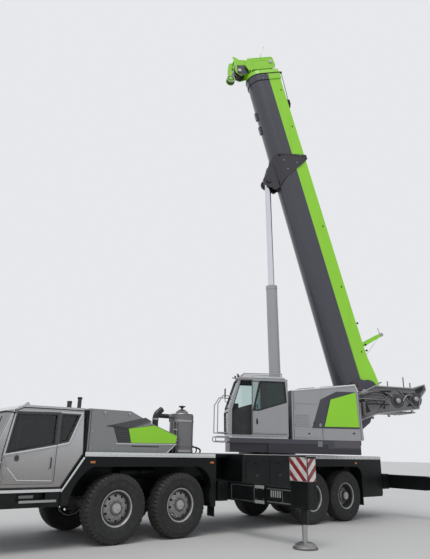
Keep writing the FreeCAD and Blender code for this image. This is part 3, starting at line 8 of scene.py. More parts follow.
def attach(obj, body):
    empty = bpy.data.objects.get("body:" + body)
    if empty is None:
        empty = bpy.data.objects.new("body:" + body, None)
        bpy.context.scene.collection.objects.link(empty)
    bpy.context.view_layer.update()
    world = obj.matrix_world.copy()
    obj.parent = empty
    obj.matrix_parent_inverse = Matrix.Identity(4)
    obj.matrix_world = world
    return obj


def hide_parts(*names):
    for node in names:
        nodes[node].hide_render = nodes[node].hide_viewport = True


# The mobile crane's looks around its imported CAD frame, in metres. CARRIER has X 0 at the first
# axle; SUPER, BOOM and LUFF are the superstructure's, the boom's and the cylinder's own frames.

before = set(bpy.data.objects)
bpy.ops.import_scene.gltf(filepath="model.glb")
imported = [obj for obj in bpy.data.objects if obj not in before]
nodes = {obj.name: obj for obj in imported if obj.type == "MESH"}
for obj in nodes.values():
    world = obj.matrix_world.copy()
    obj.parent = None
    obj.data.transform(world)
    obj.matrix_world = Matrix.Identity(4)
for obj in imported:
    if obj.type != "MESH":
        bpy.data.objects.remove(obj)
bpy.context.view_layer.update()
rng = random.Random(7)

LEFT, RIGHT = 1, -1
SIDES = ((LEFT, "left"), (RIGHT, "right"))
BODY_HALF = 1.372
CAB_HALF = 1.340
HOOD_HALF = 1.300
SUPER_HALF = 1.330
TYRE_R = 0.685
TRACK_HALF = 1.150
AXLES = (("1", 0.0, True), ("2", -1.6, True), ("3", -6.08, False), ("4", -7.53, False))

CARRIER = Matrix.Translation((3.641, 0, 0))
SUPER = CARRIER @ Matrix.Translation((-5.6, 0, 0)) @ Matrix.Rotation(math.radians(-30), 4, "Z")
BOOM = SUPER @ Matrix.Translation((-2.98, 0, 3.65)) @ Matrix.Rotation(math.radians(-76), 4, "Y")
HEAD_EYE = BOOM @ Vector((7.72, 0, -1.0))
LUFF_FOOT = SUPER @ Vector((-0.32, 0, 2.45))
LUFF_RISE = math.atan2(HEAD_EYE.z - LUFF_FOOT.z, (HEAD_EYE - LUFF_FOOT).xy.length * (
    1 if (SUPER.inverted() @ HEAD_EYE).x > -0.32 else -1))
LUFF = SUPER @ Matrix.Translation((-0.32, 0, 2.45)) @ Matrix.Rotation(-LUFF_RISE, 4, "Y")


# Materials

class Tree:
    """A material's node tree and short ways to add to it."""

    def __init__(self, name, **fixed):
        self.material = bpy.data.materials.new(name)
        self.material.use_nodes = True
        self.tree = self.material.node_tree
        self.tree.nodes.clear()
        out = self.add("ShaderNodeOutputMaterial")
        self.shader = self.add("ShaderNodeBsdfPrincipled")
        self.link(self.shader.outputs[0], out.inputs[0])
        for socket, value in fixed.items():
            self.shader.inputs[socket.replace("_", " ")].default_value = value
        self.place = self.add("ShaderNodeTexCoord").outputs["Object"]

    def add(self, kind, **settings):
        node = self.tree.nodes.new(kind)
        for key, value in settings.items():
            setattr(node, key, value)
        return node

    def link(self, a, b):
        self.tree.links.new(a, b)

    def put(self, socket, value):
        if isinstance(value, bpy.types.NodeSocket):
            self.link(value, socket)
        else:
            socket.default_value = value

    def math(self, operation, a, b=0.0, clamp=False):
        node = self.add("ShaderNodeMath", operation=operation, use_clamp=clamp)
        self.put(node.inputs[0], a)
        self.put(node.inputs[1], b)
        return node.outputs[0]

    def mix(self, share, a, b):
        node = self.add("ShaderNodeMix", data_type="RGBA")
        self.put(node.inputs[0], share)
        for socket, value in ((node.inputs[6], a), (node.inputs[7], b)):
            self.put(socket, (*value, 1) if isinstance(value, tuple) and len(value) == 3 else value)
        return node.outputs[2]

    def stretch(self, scale, place=None):
        node = self.add("ShaderNodeMapping")
        self.put(node.inputs["Vector"], place or self.place)
        node.inputs["Scale"].default_value = scale
        return node.outputs[0]

    def noise(self, scale, detail=3.0, place=None, rough=0.55):
        node = self.add("ShaderNodeTexNoise")
        self.put(node.inputs["Vector"], place or self.place)
        node.inputs["Scale"].default_value = scale
        node.inputs["Detail"].default_value = detail
        node.inputs["Roughness"].default_value = rough
        return node.outputs["Fac"]

    def span(self, value, low, high, to_low=0.0, to_high=1.0):
        node = self.add("ShaderNodeMapRange")
        node.clamp = True
        self.put(node.inputs["Value"], value)
        for key, number in (("From Min", low), ("From Max", high), ("To Min", to_low), ("To Max", to_high)):
            node.inputs[key].default_value = number
        return node.outputs[0]

    def along(self, direction, origin=(0, 0, 0)):
        """How far a point lies from origin along a direction in the row frame."""
        shift = self.add("ShaderNodeVectorMath", operation="SUBTRACT")
        self.link(self.place, shift.inputs[0])
        shift.inputs[1].default_value = origin
        dot = self.add("ShaderNodeVectorMath", operation="DOT_PRODUCT")
        self.link(shift.outputs[0], dot.inputs[0])
        dot.inputs[1].default_value = direction
        return dot.outputs["Value"]

    def edges(self, radius):
        """Near 1 along convex and concave edges."""
        bevel = self.add("ShaderNodeBevel", samples=4)
        bevel.inputs["Radius"].default_value = radius
        normal = self.add("ShaderNodeNewGeometry").outputs["Normal"]
        dot = self.add("ShaderNodeVectorMath", operation="DOT_PRODUCT")
        self.link(bevel.outputs[0], dot.inputs[0])
        self.link(normal, dot.inputs[1])
        return self.span(dot.outputs["Value"], 0.995, 0.80)

    def bump(self, height, strength, distance=0.002):
        node = self.add("ShaderNodeBump")
        node.inputs["Strength"].default_value = strength
        node.inputs["Distance"].default_value = distance
        self.link(height, node.inputs["Height"])
        self.link(node.outputs[0], self.shader.inputs["Normal"])


def tint(colour, factor):
    return tuple(min(1.0, c * factor) for c in colour)


def painted(name, colour, rough=0.34, metallic=0.0, coat=0.35, dust=0.25, wear=0.35, regions=(),
            worn=(0.30, 0.30, 0.30), dust_top=1.6, spread=0.07, shine=0.5, lower=None):
    """Sprayed metal: slight drifts of tone, rain marks, dust low down, rubbed edges. regions are
    (mask function, colour) pairs painted over the base; lower is a darker, warmer tone painted towards the ground, a
    painted reflection of the ground on the lower panels."""
    t = Tree(name, Metallic=metallic, Coat_Weight=coat, Coat_Roughness=0.12, Specular_IOR_Level=shine)
    drift = t.noise(0.9, 4)
    base = t.mix(drift, tint(colour, 1 - spread), tint(colour, 1 + spread))
    # lower: a darker, warmer tone painted from 2.15 m down to 1.25 m, a painted reflection of the ground
    if lower:
        base = t.mix(t.span(t.along((0, 0, 1)), 2.15, 1.25), base, lower)
    for mask, other in regions:
        painted_over = t.mix(drift, tint(other, 1 - spread), tint(other, 1 + spread))
        base = t.mix(mask(t), base, painted_over)
    streaks = t.noise(1.0, 4, t.stretch((9, 9, 0.5)))
    marks = t.span(streaks, 0.55, 0.8, 0.0, 0.10)
    base = t.mix(marks, base, tint(colour, 0.55))
    height = t.along((0, 0, 1))
    low = t.span(height, 0.15, dust_top, 1.0, 0.0)
    cloud = t.span(t.noise(3.2, 6), 0.35, 0.75)
    dirt = t.math("MULTIPLY", t.math("MULTIPLY", low, cloud), dust * 1.7, clamp=True)
    fine = t.math("MULTIPLY", t.span(t.noise(22, 5), 0.45, 0.8), dust * 0.15)
    dirt = t.math("ADD", dirt, fine, clamp=True)
    base = t.mix(dirt, base, (0.20, 0.185, 0.165))
    if wear:
        chips = t.math("MULTIPLY", t.edges(0.007), t.span(t.noise(38, 4), 0.40, 0.62))
        base = t.mix(t.math("MULTIPLY", chips, wear), base, worn)
    t.link(base, t.shader.inputs["Base Color"])
    grain = t.span(t.noise(14, 5), 0.3, 0.8, rough - 0.05, rough + 0.09)
    t.link(t.math("ADD", grain, t.math("MULTIPLY", dirt, 0.35), clamp=True), t.shader.inputs["Roughness"])
    peel = t.math("ADD", t.noise(320, 2), t.math("MULTIPLY", t.noise(2.2, 2), 2.5))
    t.bump(peel, 0.05, 0.0010)
    return t.material


def moulded(name, colour, rough=0.55, grain=0.35, dust=0.3):
    """Moulded plastic or rubber with a fine grain."""
    t = Tree(name, Specular_IOR_Level=0.4)
    base = t.mix(t.noise(2.5, 4), tint(colour, 0.85), tint(colour, 1.2))
    dirt = t.math("MULTIPLY", t.span(t.noise(5.0, 6), 0.45, 0.8), dust)
    t.link(t.mix(dirt, base, (0.15, 0.14, 0.125)), t.shader.inputs["Base Color"])
    t.link(t.span(t.noise(18, 4), 0.3, 0.8, rough - 0.08, rough + 0.1), t.shader.inputs["Roughness"])
    t.bump(t.noise(420, 3), grain, 0.0012)
    return t.material


def bare(name, colour, rough=0.3, brushed=(60, 60, 60), stain=0.2, rust=(0.16, 0.10, 0.07)):
    """Bare or plated metal with fine tool marks and a little staining."""
    t = Tree(name, Metallic=1.0)
    lines = t.noise(1.0, 4, t.stretch(brushed))
    base = t.mix(lines, tint(colour, 0.86), tint(colour, 1.1))
    stains = t.math("MULTIPLY", t.span(t.noise(4.0, 6), 0.55, 0.8), stain)
    t.link(t.mix(stains, base, rust), t.shader.inputs["Base Color"])
    t.link(t.math("ADD", t.span(lines, 0.3, 0.7, rough - 0.07, rough + 0.1), stains, clamp=True),
           t.shader.inputs["Roughness"])
    t.bump(lines, 0.08, 0.0008)
    return t.material


def glazed(name, colour, rough=0.02, see=1.0):
    """Tinted pane with a faint film of dust."""
    t = Tree(name, IOR=1.45, Transmission_Weight=see, Coat_Weight=0.3, Coat_Roughness=0.02)
    film = t.span(t.noise(3.0, 5), 0.5, 0.85, 0.0, 0.10)
    t.link(t.mix(film, tint(colour, 1.0), tint(colour, 1.5)), t.shader.inputs["Base Color"])
    t.link(t.math("ADD", film, rough), t.shader.inputs["Roughness"])
    return t.material


def lamp_lens(name, colour, see=0.3):
    """Ribbed lamp lens."""
    t = Tree(name, IOR=1.5, Coat_Weight=0.6, Coat_Roughness=0.05, Transmission_Weight=see)
    ribs = t.add("ShaderNodeTexWave", wave_type="BANDS", bands_direction="Z")
    t.link(t.place, ribs.inputs["Vector"])
    ribs.inputs["Scale"].default_value = 40
    t.link(t.mix(ribs.outputs["Fac"], tint(colour, 0.8), tint(colour, 1.15)), t.shader.inputs["Base Color"])
    t.link(t.span(t.noise(9, 3), 0.3, 0.8, 0.12, 0.22), t.shader.inputs["Roughness"])
    t.bump(ribs.outputs["Fac"], 0.2, 0.002)
    return t.material


def mask_plane(direction, origin, soft=0.004):
    """A mask that is 1 where a point lies beyond origin along direction."""
    def build(t):
        return t.span(t.along(tuple(direction), tuple(origin)), -soft, soft)
    return build


def inside(place, outline, span, plane="xz", soft=0.003):
    """A mask that is 1 inside a convex outline in two axes of a frame and between two offsets
    along the third."""
    first, second, across = {"xz": (0, 2, 1), "yz": (1, 2, 0), "xy": (0, 1, 2)}[plane]
    turn = place.to_3x3()
    area = sum(a[0] * b[1] - b[0] * a[1] for a, b in zip(outline, outline[1:] + outline[:1]))
    way = 1 if area > 0 else -1
    walls = []
    for a, b in zip(outline, outline[1:] + outline[:1]):
        length = math.dist(a, b)
        normal, spot = [0, 0, 0], [0, 0, 0]
        normal[first], normal[second] = -(b[1] - a[1]) / length * way, (b[0] - a[0]) / length * way
        spot[first], spot[second] = a
        walls.append((turn @ Vector(normal), place @ Vector(spot)))
    for value, sign in zip(sorted(span), (1, -1)):
        normal, spot = [0, 0, 0], [0, 0, 0]
        normal[across], spot[across] = sign, value
        walls.append((turn @ Vector(normal), place @ Vector(spot)))

    def build(t):
        mask = None
        for normal, spot in walls:
            one = t.span(t.along(tuple(normal), tuple(spot)), -soft, soft)
            mask = one if mask is None else t.math("MULTIPLY", mask, one)
        return mask
    return build


def within(place, x, y, z):
    """A mask that is 1 inside a box of a frame."""
    return inside(place, [(x[0], z[0]), (x[1], z[0]), (x[1], z[1]), (x[0], z[1])], y)


GREEN = (0.285, 0.68, 0.018)
CHARCOAL = (0.044, 0.044, 0.060)
GREY = (0.325, 0.325, 0.335)
INK = (0.010, 0.010, 0.011)
PALE = (0.50, 0.52, 0.50)
WIDE = (-1.9, 1.9)

GREEN_PANEL = [(-0.149, 2.278), (-0.815, 2.372), (-1.436, 2.158), (-1.398, 2.000), (-0.236, 1.984)]
HOOD_LINE = [(0.140, 1.946), (0.145, 1.972), (-1.385, 1.990), (-1.380, 1.962)]
# The vent's recess behind the hood slats, painted near black: painted shade in the recess
HOOD_VENT_SHADE = [(0.232, 2.330), (0.093, 1.978), (-0.222, 1.984), (-0.143, 2.284)]
# The hood's chamfer facet and the dark tone painted on it: painted shade, the shadow the chamfer lies in
HOOD_FACET_SHADE = [
    [(0.384, 2.315), (-0.566, 2.532), (-0.741, 2.471), (-0.143, 2.281)],
    [(0.384, 2.315), (-0.143, 2.281), (0.232, 2.334)],
]
FACET_SHADE_TONE = (0.060, 0.064, 0.062)
SADDLE_INK = (0.020, 0.018, 0.027)
HOUSE_GREEN = [(-1.340, 2.561), (-2.362, 2.568), (-2.320, 3.540), (-1.554, 3.314)]
HOUSE_BANDS_AND_SHADOW_LINE = [
    [(-0.974, 2.512), (-1.247, 3.304), (-1.554, 3.314), (-1.320, 2.512)],
    [(-1.247, 3.304), (-1.744, 3.548), (-2.320, 3.548), (-1.554, 3.310)],
    # Dark band just under the green panel: painted shadow below the panel
    [(-1.30, 2.512), (-2.38, 2.516), (-2.38, 2.572), (-1.30, 2.566)],
]

boom_back = BOOM.to_3x3() @ Vector((0.0015, 0, 1)).normalized()
boom_split = BOOM @ Vector((2.0, 0, 0.035))
boom_axis = BOOM @ Vector((0, 0, -0.28))
boom_along, boom_side, boom_up = (tuple(BOOM.to_3x3() @ Vector(v)) for v in ((1, 0, 0), (0, 1, 0), (0, 0, 1)))


def saddle_mask(t):
    """1 on the band that stands proud of the base section."""
    side = t.along(boom_side, tuple(boom_axis))
    up = t.along(boom_up, tuple(boom_axis))
    under = t.math("MINIMUM", up, 0.0)
    round_ = t.math("SQRT", t.math("ADD", t.math("MULTIPLY", side, side), t.math("MULTIPLY", under, under)))
    proud = t.math("MAXIMUM", t.span(round_, 0.430, 0.436), t.span(up, 0.750, 0.757))
    far = t.along(boom_along, tuple(boom_axis))
    return t.math("MULTIPLY", proud, t.math("MULTIPLY", t.span(far, 6.9, 6.92), t.span(far, 8.96, 8.94)))


def mouth_mask(t):
    """1 beyond the base section's mouth."""
    return t.span(t.along(boom_along, tuple(boom_axis)), 12.000, 12.004)


def wheel_paint():
    """Rim: painted highlight on the flange and the hub cap, painted shade in the dished part and on a ring round the
    hub.
    """
    t = Tree("mat_wheel", Metallic=0.5, Coat_Weight=0.2, Coat_Roughness=0.2)
    away = t.add("ShaderNodeVectorMath", operation="LENGTH")
    t.link(t.stretch((1, 0, 1)), away.inputs[0])
    radius = away.outputs["Value"]
    base = t.mix(t.noise(7, 5), (0.235, 0.23, 0.225), (0.30, 0.295, 0.29))
    # Painted shade in the dished part of the disc
    dish = t.math("MULTIPLY", t.span(radius, 0.262, 0.285), t.span(radius, 0.332, 0.322))
    base = t.mix(t.math("MULTIPLY", dish, 0.80), base, (0.035, 0.036, 0.036))
    # Painted shade on a ring round the hub
    collar = t.math("MULTIPLY", t.span(radius, 0.098, 0.108), t.span(radius, 0.150, 0.136))
    base = t.mix(t.math("MULTIPLY", collar, 0.65), base, (0.045, 0.045, 0.045))
    # Painted highlight on the flange and the hub cap
    bright = t.math("ADD", t.span(radius, 0.330, 0.336), t.span(radius, 0.100, 0.092), clamp=True)
    base = t.mix(t.math("MULTIPLY", bright, 0.8), base, (0.52, 0.52, 0.53))
    dirt = t.math("MULTIPLY", t.span(t.noise(9, 6), 0.45, 0.8), 0.5)
    base = t.mix(dirt, base, (0.12, 0.11, 0.10))
    t.link(base, t.shader.inputs["Base Color"])
    t.link(t.span(t.noise(20, 4), 0.3, 0.8, 0.34, 0.55), t.shader.inputs["Roughness"])
    t.bump(t.noise(200, 3), 0.1, 0.001)
    return t.material


MAT = {
    # The silver's lower tone is a painted reflection of the ground on the cab's lower panels
    "silver": painted("mat_silver", (0.49, 0.495, 0.505), 0.28, 0.15, 0.5, dust=0.02, wear=0.1, lower=(0.27, 0.255, 0.245), regions=(
        (within(CARRIER, (2.30, 2.86), (1.362, 1.9), (1.66, 2.52)), INK),
        (within(CARRIER, (2.30, 2.86), (-1.9, -1.362), (1.66, 2.52)), INK),
        (within(CARRIER, (2.66, 2.86), WIDE, (1.66, 2.52)), INK),
        (within(CARRIER, (0.9, 1.3), (1.09, 1.25), (2.644, 2.95)), INK),
    )),
    "hood": painted("mat_hood_grey", (0.225, 0.230, 0.228), 0.34, 0.35, 0.4, dust=0.06, wear=0.1, regions=(
        # Painted shade on the hood's chamfer facet
        *((inside(CARRIER, part, WIDE), FACET_SHADE_TONE) for part in HOOD_FACET_SHADE),
        (inside(CARRIER, GREEN_PANEL, WIDE), GREEN),
        (inside(CARRIER, HOOD_LINE, WIDE), PALE),
        # Painted shade in the vent's recess behind the slats
        (inside(CARRIER, HOOD_VENT_SHADE, WIDE), (0.026, 0.032, 0.032)),
    )),
    "grey": painted("mat_super_grey", GREY, 0.34, 0.25, 0.4, dust=0.10, wear=0.2),
    "house": painted("mat_housing", GREY, 0.34, 0.25, 0.4, dust=0.10, wear=0.2, regions=(
        # Charcoal bands of the two-tone paint, and a painted shadow line under the green panel
        *((inside(SUPER, part, (-2.0, 2.0)), CHARCOAL) for part in HOUSE_BANDS_AND_SHADOW_LINE),
        (inside(SUPER, HOUSE_GREEN, (-2.0, 2.0)), GREEN),
    )),
    "saddle": painted("mat_saddle", SADDLE_INK, 0.40, 0.1, 0.2, dust=0.12, wear=0.3),
    "dim": painted("mat_dim_lilac", (0.085, 0.078, 0.092), 0.40, 0.1, 0.2, dust=0.15, wear=0.3),
    "charcoal": painted("mat_charcoal", CHARCOAL, 0.38, 0.1, 0.3, dust=0.2, wear=0.3),
    "green": painted("mat_green", GREEN, 0.32, 0.0, 0.45, dust=0.10, wear=0.25, worn=(0.5, 0.6, 0.3)),
    "boom": painted("mat_boom", CHARCOAL, 0.30, 0.15, 0.55, dust=0.06, wear=0.25,
                    regions=((mask_plane(boom_back, boom_split), GREEN),
                             (saddle_mask, SADDLE_INK), (mouth_mask, GREEN))),
    "black": painted("mat_frame_black", (0.0035, 0.0052, 0.0056), 0.40, 0.0, 0.0, dust=0.07, wear=0.3,
                     worn=(0.10, 0.10, 0.10), shine=0.22),
    "beam": painted("mat_beam_black", (0.0035, 0.0052, 0.0058), 0.34, 0.0, 0.0, dust=0.05, wear=0.4,
                    worn=(0.14, 0.14, 0.14), shine=0.25),
    "barrel": painted("mat_barrel_grey", (0.34, 0.345, 0.36), 0.30, 0.2, 0.5, dust=0.06, wear=0.15),
    "winch": painted("mat_winch_grey", (0.15, 0.15, 0.155), 0.45, 0.3, 0.15, dust=0.35, wear=0.6,
                     dust_top=6.0),
    # Light grey of the roof cap, also used for the front pillar's painted highlight
    "light": painted("mat_light_grey_and_highlight", (0.50, 0.50, 0.51), 0.32, 0.2, 0.4, dust=0.06, wear=0.15),
    "equipment": painted("mat_equipment", (0.165, 0.160, 0.165), 0.38, 0.3, 0.3, dust=0.12, wear=0.4, regions=(
        (within(CARRIER, (-1.42, -0.90), (0.70, 1.05), (1.70, 2.90)), INK),)),
    "cast": painted("mat_cast", (0.035, 0.035, 0.037), 0.55, 0.2, 0.0, dust=0.6, wear=0.5),
    "wheel": wheel_paint(),
    # Bright trim, also used for tubes that are painted highlight on edges
    "trim": painted("mat_trim_and_highlight", (0.66, 0.68, 0.67), 0.28, 0.2, 0.4, dust=0.03, wear=0.1),
    "white": painted("mat_white", (0.70, 0.68, 0.67), 0.35, 0.0, 0.3, dust=0.2, wear=0.3),
    "plastic": moulded("mat_black_plastic", (0.013, 0.013, 0.014), 0.5),
    "rubber": moulded("mat_seal_rubber", (0.012, 0.012, 0.012), 0.7, 0.2, 0.2),
    "hose": moulded("mat_hose", (0.015, 0.015, 0.016), 0.5, 0.3, 0.35),
    "seat": moulded("mat_seat", (0.03, 0.031, 0.034), 0.75, 0.6, 0.15),
    "rod": bare("mat_rod", (0.74, 0.73, 0.78), 0.16, (80, 80, 2), 0.05),
    "steel": bare("mat_steel", (0.42, 0.42, 0.43), 0.36, (50, 50, 50), 0.35),
    "chrome": bare("mat_chrome", (0.68, 0.69, 0.70), 0.12, (30, 30, 30), 0.08),
    "dark_steel": bare("mat_dark_steel", (0.10, 0.10, 0.105), 0.42, (40, 40, 40), 0.3),
    "glass": glazed("mat_dark_glass", (0.060, 0.072, 0.078)),
    "teal_glass": glazed("mat_teal_glass", (0.55, 0.68, 0.66)),
    "door_glass": glazed("mat_door_glass", (0.15, 0.25, 0.24)),
    "orange": lamp_lens("mat_orange_lens", (0.85, 0.23, 0.02)),
    "red": lamp_lens("mat_red_lens", (0.55, 0.02, 0.015)),
    "clear": lamp_lens("mat_clear_lens", (0.75, 0.77, 0.78), 0.5),
}


# Mesh building

class Shape:
    """Collects forms in one frame; done() makes them one piece that rides on a body."""

    def __init__(self, place=CARRIER):
        self.bm = bmesh.new()
        self.place = place

    def face(self, points):
        verts = [self.bm.verts.new(p) for p in points]
        return self.bm.faces.new(verts)

    def box(self, x, y, z):
        (x0, x1), (y0, y1), (z0, z1) = sorted(x), sorted(y), sorted(z)
        low = [self.bm.verts.new(p) for p in ((x0, y0, z0), (x1, y0, z0), (x1, y1, z0), (x0, y1, z0))]
        top = [self.bm.verts.new(p) for p in ((x0, y0, z1), (x1, y0, z1), (x1, y1, z1), (x0, y1, z1))]
        self.bm.faces.new(low[::-1])
        self.bm.faces.new(top)
        for i in range(4):
            j = (i + 1) % 4
            self.bm.faces.new((low[i], low[j], top[j], top[i]))

    def prism(self, points, a0, a1, plane="xz"):
        """An outline in two axes, extruded along the third."""
        spots = {"xz": lambda p, a: (p[0], a, p[1]), "yz": lambda p, a: (a, p[0], p[1]),
                 "xy": lambda p, a: (p[0], p[1], a)}[plane]
        one = [self.bm.verts.new(spots(p, a0)) for p in points]
        two = [self.bm.verts.new(spots(p, a1)) for p in points]
        made = [self.bm.faces.new(one), self.bm.faces.new(two[::-1])]
        for i in range(len(points)):
            j = (i + 1) % len(points)
            made.append(self.bm.faces.new((one[j], one[i], two[i], two[j])))
        bmesh.ops.recalc_face_normals(self.bm, faces=made)

    def rings(self, circles, closed=False, caps=True):
        loops = [[self.bm.verts.new(p) for p in ring] for ring in circles]
        pairs = list(zip(loops, loops[1:] + (loops[:1] if closed else [])))
        if not closed:
            pairs = pairs[:len(loops) - 1]
        made = []
        for one, two in pairs:
            for i in range(len(one)):
                j = (i + 1) % len(one)
                made.append(self.bm.faces.new((one[i], one[j], two[j], two[i])))
        if caps and not closed:
            made.append(self.bm.faces.new(loops[0][::-1]))
            made.append(self.bm.faces.new(loops[-1]))
        bmesh.ops.recalc_face_normals(self.bm, faces=made)

    def cyl(self, start, end, r, r2=None, n=20):
        a, b = Vector(start), Vector(end)
        self.rings([circle(a, b - a, r, n), circle(b, b - a, r if r2 is None else r2, n)])

    def lathe(self, profile, origin, axis, n=32, turn=0.0):
        """A profile of (radius, offset) turned about an axis."""
        o, d = Vector(origin), Vector(axis).normalized()
        self.rings([circle(o + d * a, d, max(r, 0.0004), n, turn) for r, a in profile],
                   caps=profile[0] != profile[-1])

    def tube(self, path, r, n=10, caps=True):
        """A round bar along a path of points."""
        points = [Vector(p) for p in path]
        rings = []
        normal = None
        for i, p in enumerate(points):
            before = points[i] - points[i - 1] if i else points[1] - points[0]
            after = points[i + 1] - points[i] if i + 1 < len(points) else before
            way = (before.normalized() + after.normalized()).normalized()
            if normal is None:
                normal = way.orthogonal().normalized()
            normal = (normal - way * normal.dot(way)).normalized()
            side = way.cross(normal)
            grow = 1 / max(0.5, way.dot(before.normalized()))
            rings.append([p + (normal * math.cos(t) + side * math.sin(t)) * r * grow
                          for t in (2 * math.pi * k / n for k in range(n))])
        self.rings(rings, caps=caps)

    def pipe(self, path, r, bend=0.06, n=10):
        """A round bar whose corners are rounded."""
        self.tube(rounded(path, bend), r, n)

    def bolt(self, spot, axis, r=0.012, height=0.008):
        d = Vector(axis).normalized()
        p = Vector(spot)
        self.rings([circle(p, d, r * 1.35, 12), circle(p + d * height * 0.3, d, r * 1.35, 12)])
        self.rings([circle(p + d * height * 0.3, d, r, 6), circle(p + d * height, d, r, 6)])

    def done(self, name, body, material, bevel=0.0, angle=32, segments=2):
        mesh = bpy.data.meshes.new(name)
        self.bm.transform(self.place)
        self.bm.to_mesh(mesh)
        self.bm.free()
        return dress(mesh, name, body, material, bevel, angle, segments)


def dress(mesh, name, body, material, bevel=0.0, angle=32, segments=2):
    piece = bpy.data.objects.new(name, mesh)
    bpy.context.scene.collection.objects.link(piece)
    for polygon in mesh.polygons:
        polygon.use_smooth = True
    mesh.set_sharp_from_angle(angle=math.radians(angle))
    mesh.materials.append(MAT[material])
    if bevel:
        edge = piece.modifiers.new("edge", "BEVEL")
        edge.width = bevel
        edge.segments = segments
        edge.limit_method = "ANGLE"
        edge.angle_limit = math.radians(angle)
        edge.harden_normals = True
    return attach(piece, body)


def circle(centre, axis, r, n, turn=0.0):
    d = Vector(axis).normalized()
    up = Vector((0, 0, 1)) if abs(d.z) < 0.9 else Vector((1, 0, 0))
    a = d.cross(up).normalized()
    b = d.cross(a)
    return [Vector(centre) + (a * math.cos(t) + b * math.sin(t)) * r
            for t in (turn + 2 * math.pi * k / n for k in range(n))]


def rounded(path, bend):
    points = [Vector(p) for p in path]
    out = [points[0]]
    for before, here, after in zip(points, points[1:], points[2:]):
        cut = min(bend, (here - before).length * 0.45, (after - here).length * 0.45)
        a = here + (before - here).normalized() * cut
        b = here + (after - here).normalized() * cut
        for k in range(5):
            t = k / 4
            out.append(a.lerp(here, t).lerp(here.lerp(b, t), t))
    return out + [points[-1]]


def mirrored(points, side):
    return [(p[0], p[1] * side, p[2]) for p in points]


def finish_nodes(names, material):
    for name in names:
        node = nodes[name]
        for i in range(max(1, len(node.data.materials))):
            if len(node.data.materials) > i:
                node.data.materials[i] = MAT[material]
            else:
                node.data.materials.append(MAT[material])


def matching(start):
    return [name for name in nodes if name.startswith(start)]


finish_nodes(["chassis_frame", "outrigger_boxes", "deck_plates", "fenders", "side_lockers"], "black")
finish_nodes(matching("outrigger_beam_") + matching("outrigger_tip_"), "beam")
finish_nodes(["cab_shell", "cab_door_left", "cab_door_right"], "silver")
finish_nodes(["cab_glass"] + matching("cab_door_glass"), "glass")
finish_nodes(["operator_cab_glass"], "teal_glass")
finish_nodes(["operator_door_glass"], "door_glass")
finish_nodes(["front_bumper"], "black")
finish_nodes(["engine_hood"], "hood")
finish_nodes(["engine_block", "axles"] + matching("knuckle_"), "cast")
finish_nodes(["deck_equipment"], "equipment")
finish_nodes(["winch_frame"], "winch")
finish_nodes(["slewing_ring", "winch_drums"], "dark_steel")
finish_nodes(["turntable"], "charcoal")
finish_nodes(["machinery_housing"], "house")
finish_nodes(["operator_cab", "operator_door"], "grey")
finish_nodes(["cab_interior", "operator_seat"], "seat")
finish_nodes(["boom_base"], "boom")
finish_nodes(["boom_section_2", "boom_section_3", "boom_section_4", "boom_section_5"], "boom")
finish_nodes(["boom_head"], "green")
finish_nodes(["head_sheaves"], "dark_steel")
finish_nodes(["luff_barrel"], "barrel")
finish_nodes(["luff_rod"], "rod")
finish_nodes(matching("jack_"), "steel")


# Wheels

def shared_mesh(make, name):
    """A mesh built once about the wheel's centre, outside towards +Y."""
    shape = Shape(Matrix.Identity(4))
    make(shape)
    mesh = bpy.data.meshes.new(name)
    shape.bm.to_mesh(mesh)
    shape.bm.free()
    return mesh


LUGS = 46


def make_tyre(shape):
    """Carcass with five tread ribs; the shoulder blocks are cut by lateral grooves."""
    half = [(0.358, 0.150), (0.362, 0.172), (0.372, 0.180), (0.392, 0.184), (0.402, 0.188), (0.440, 0.194),
            (0.500, 0.1985), (0.545, 0.200), (0.552, 0.2035), (0.566, 0.2035), (0.573, 0.199),
            (0.612, 0.196), (0.640, 0.190), (0.664, 0.176), (0.676, 0.158),
            (0.683, 0.134), (0.683, 0.096), (0.668, 0.092), (0.668, 0.082), (0.684, 0.078),
            (0.684, 0.040), (0.669, 0.036), (0.669, 0.028), (0.685, 0.024)]
    profile = half + [(r, -a) for r, a in reversed(half)]
    count = len(profile)
    rings = []
    for lug in range(LUGS):
        for step, (part, deep) in enumerate(((0.0, 1), (0.16, 1), (0.22, 0), (0.94, 0))):
            ring = []
            for i, (r, a) in enumerate(profile):
                shift = 0.35 if (i < count / 2) else 0.0
                edge = min(i, count - 1 - i)
                cut = 0.0
                if deep and 12 <= edge <= 16:
                    cut = 0.020
                elif deep and 19 <= edge <= 20:
                    cut = 0.010
                angle = 2 * math.pi * (lug + part + shift) / LUGS
                rr = max(0.3, r - cut)
                ring.append(Vector((math.cos(angle) * rr, a, math.sin(angle) * rr)))
            rings.append(ring)
    loops = [[shape.bm.verts.new(p) for p in ring] for ring in rings]
    for one, two in zip(loops, loops[1:] + loops[:1]):
        for i in range(count - 1):
            shape.bm.faces.new((one[i], two[i], two[i + 1], one[i + 1]))
        shape.bm.faces.new((one[count - 1], two[count - 1], two[0], one[0]))
    bmesh.ops.recalc_face_normals(shape.bm, faces=shape.bm.faces)


def cut_holes(mesh, places, r):
    """The mesh with round holes along Y."""
    target = bpy.data.objects.new("cut_target", mesh)
    tool = Shape(Matrix.Identity(4))
    for x, z in places:
        tool.cyl((x, -0.3, z), (x, 0.3, z), r, n=18)
    cutter_mesh = bpy.data.meshes.new("cut_tool")
    tool.bm.to_mesh(cutter_mesh)
    tool.bm.free()
    cutter = bpy.data.objects.new("cut_tool", cutter_mesh)
    for o in (target, cutter):
        bpy.context.scene.collection.objects.link(o)
    cut = target.modifiers.new("holes", "BOOLEAN")
    cut.operation = "DIFFERENCE"
    cut.object = cutter
    cut.solver = "EXACT"
    graph = bpy.context.evaluated_depsgraph_get()
    made = bpy.data.meshes.new_from_object(target.evaluated_get(graph))
    for o in (target, cutter):
        bpy.data.objects.remove(o)
    return made


def ring_places(count, r, turn=0.0):
    return [(r * math.cos(turn + 2 * math.pi * k / count), r * math.sin(turn + 2 * math.pi * k / count))
            for k in range(count)]


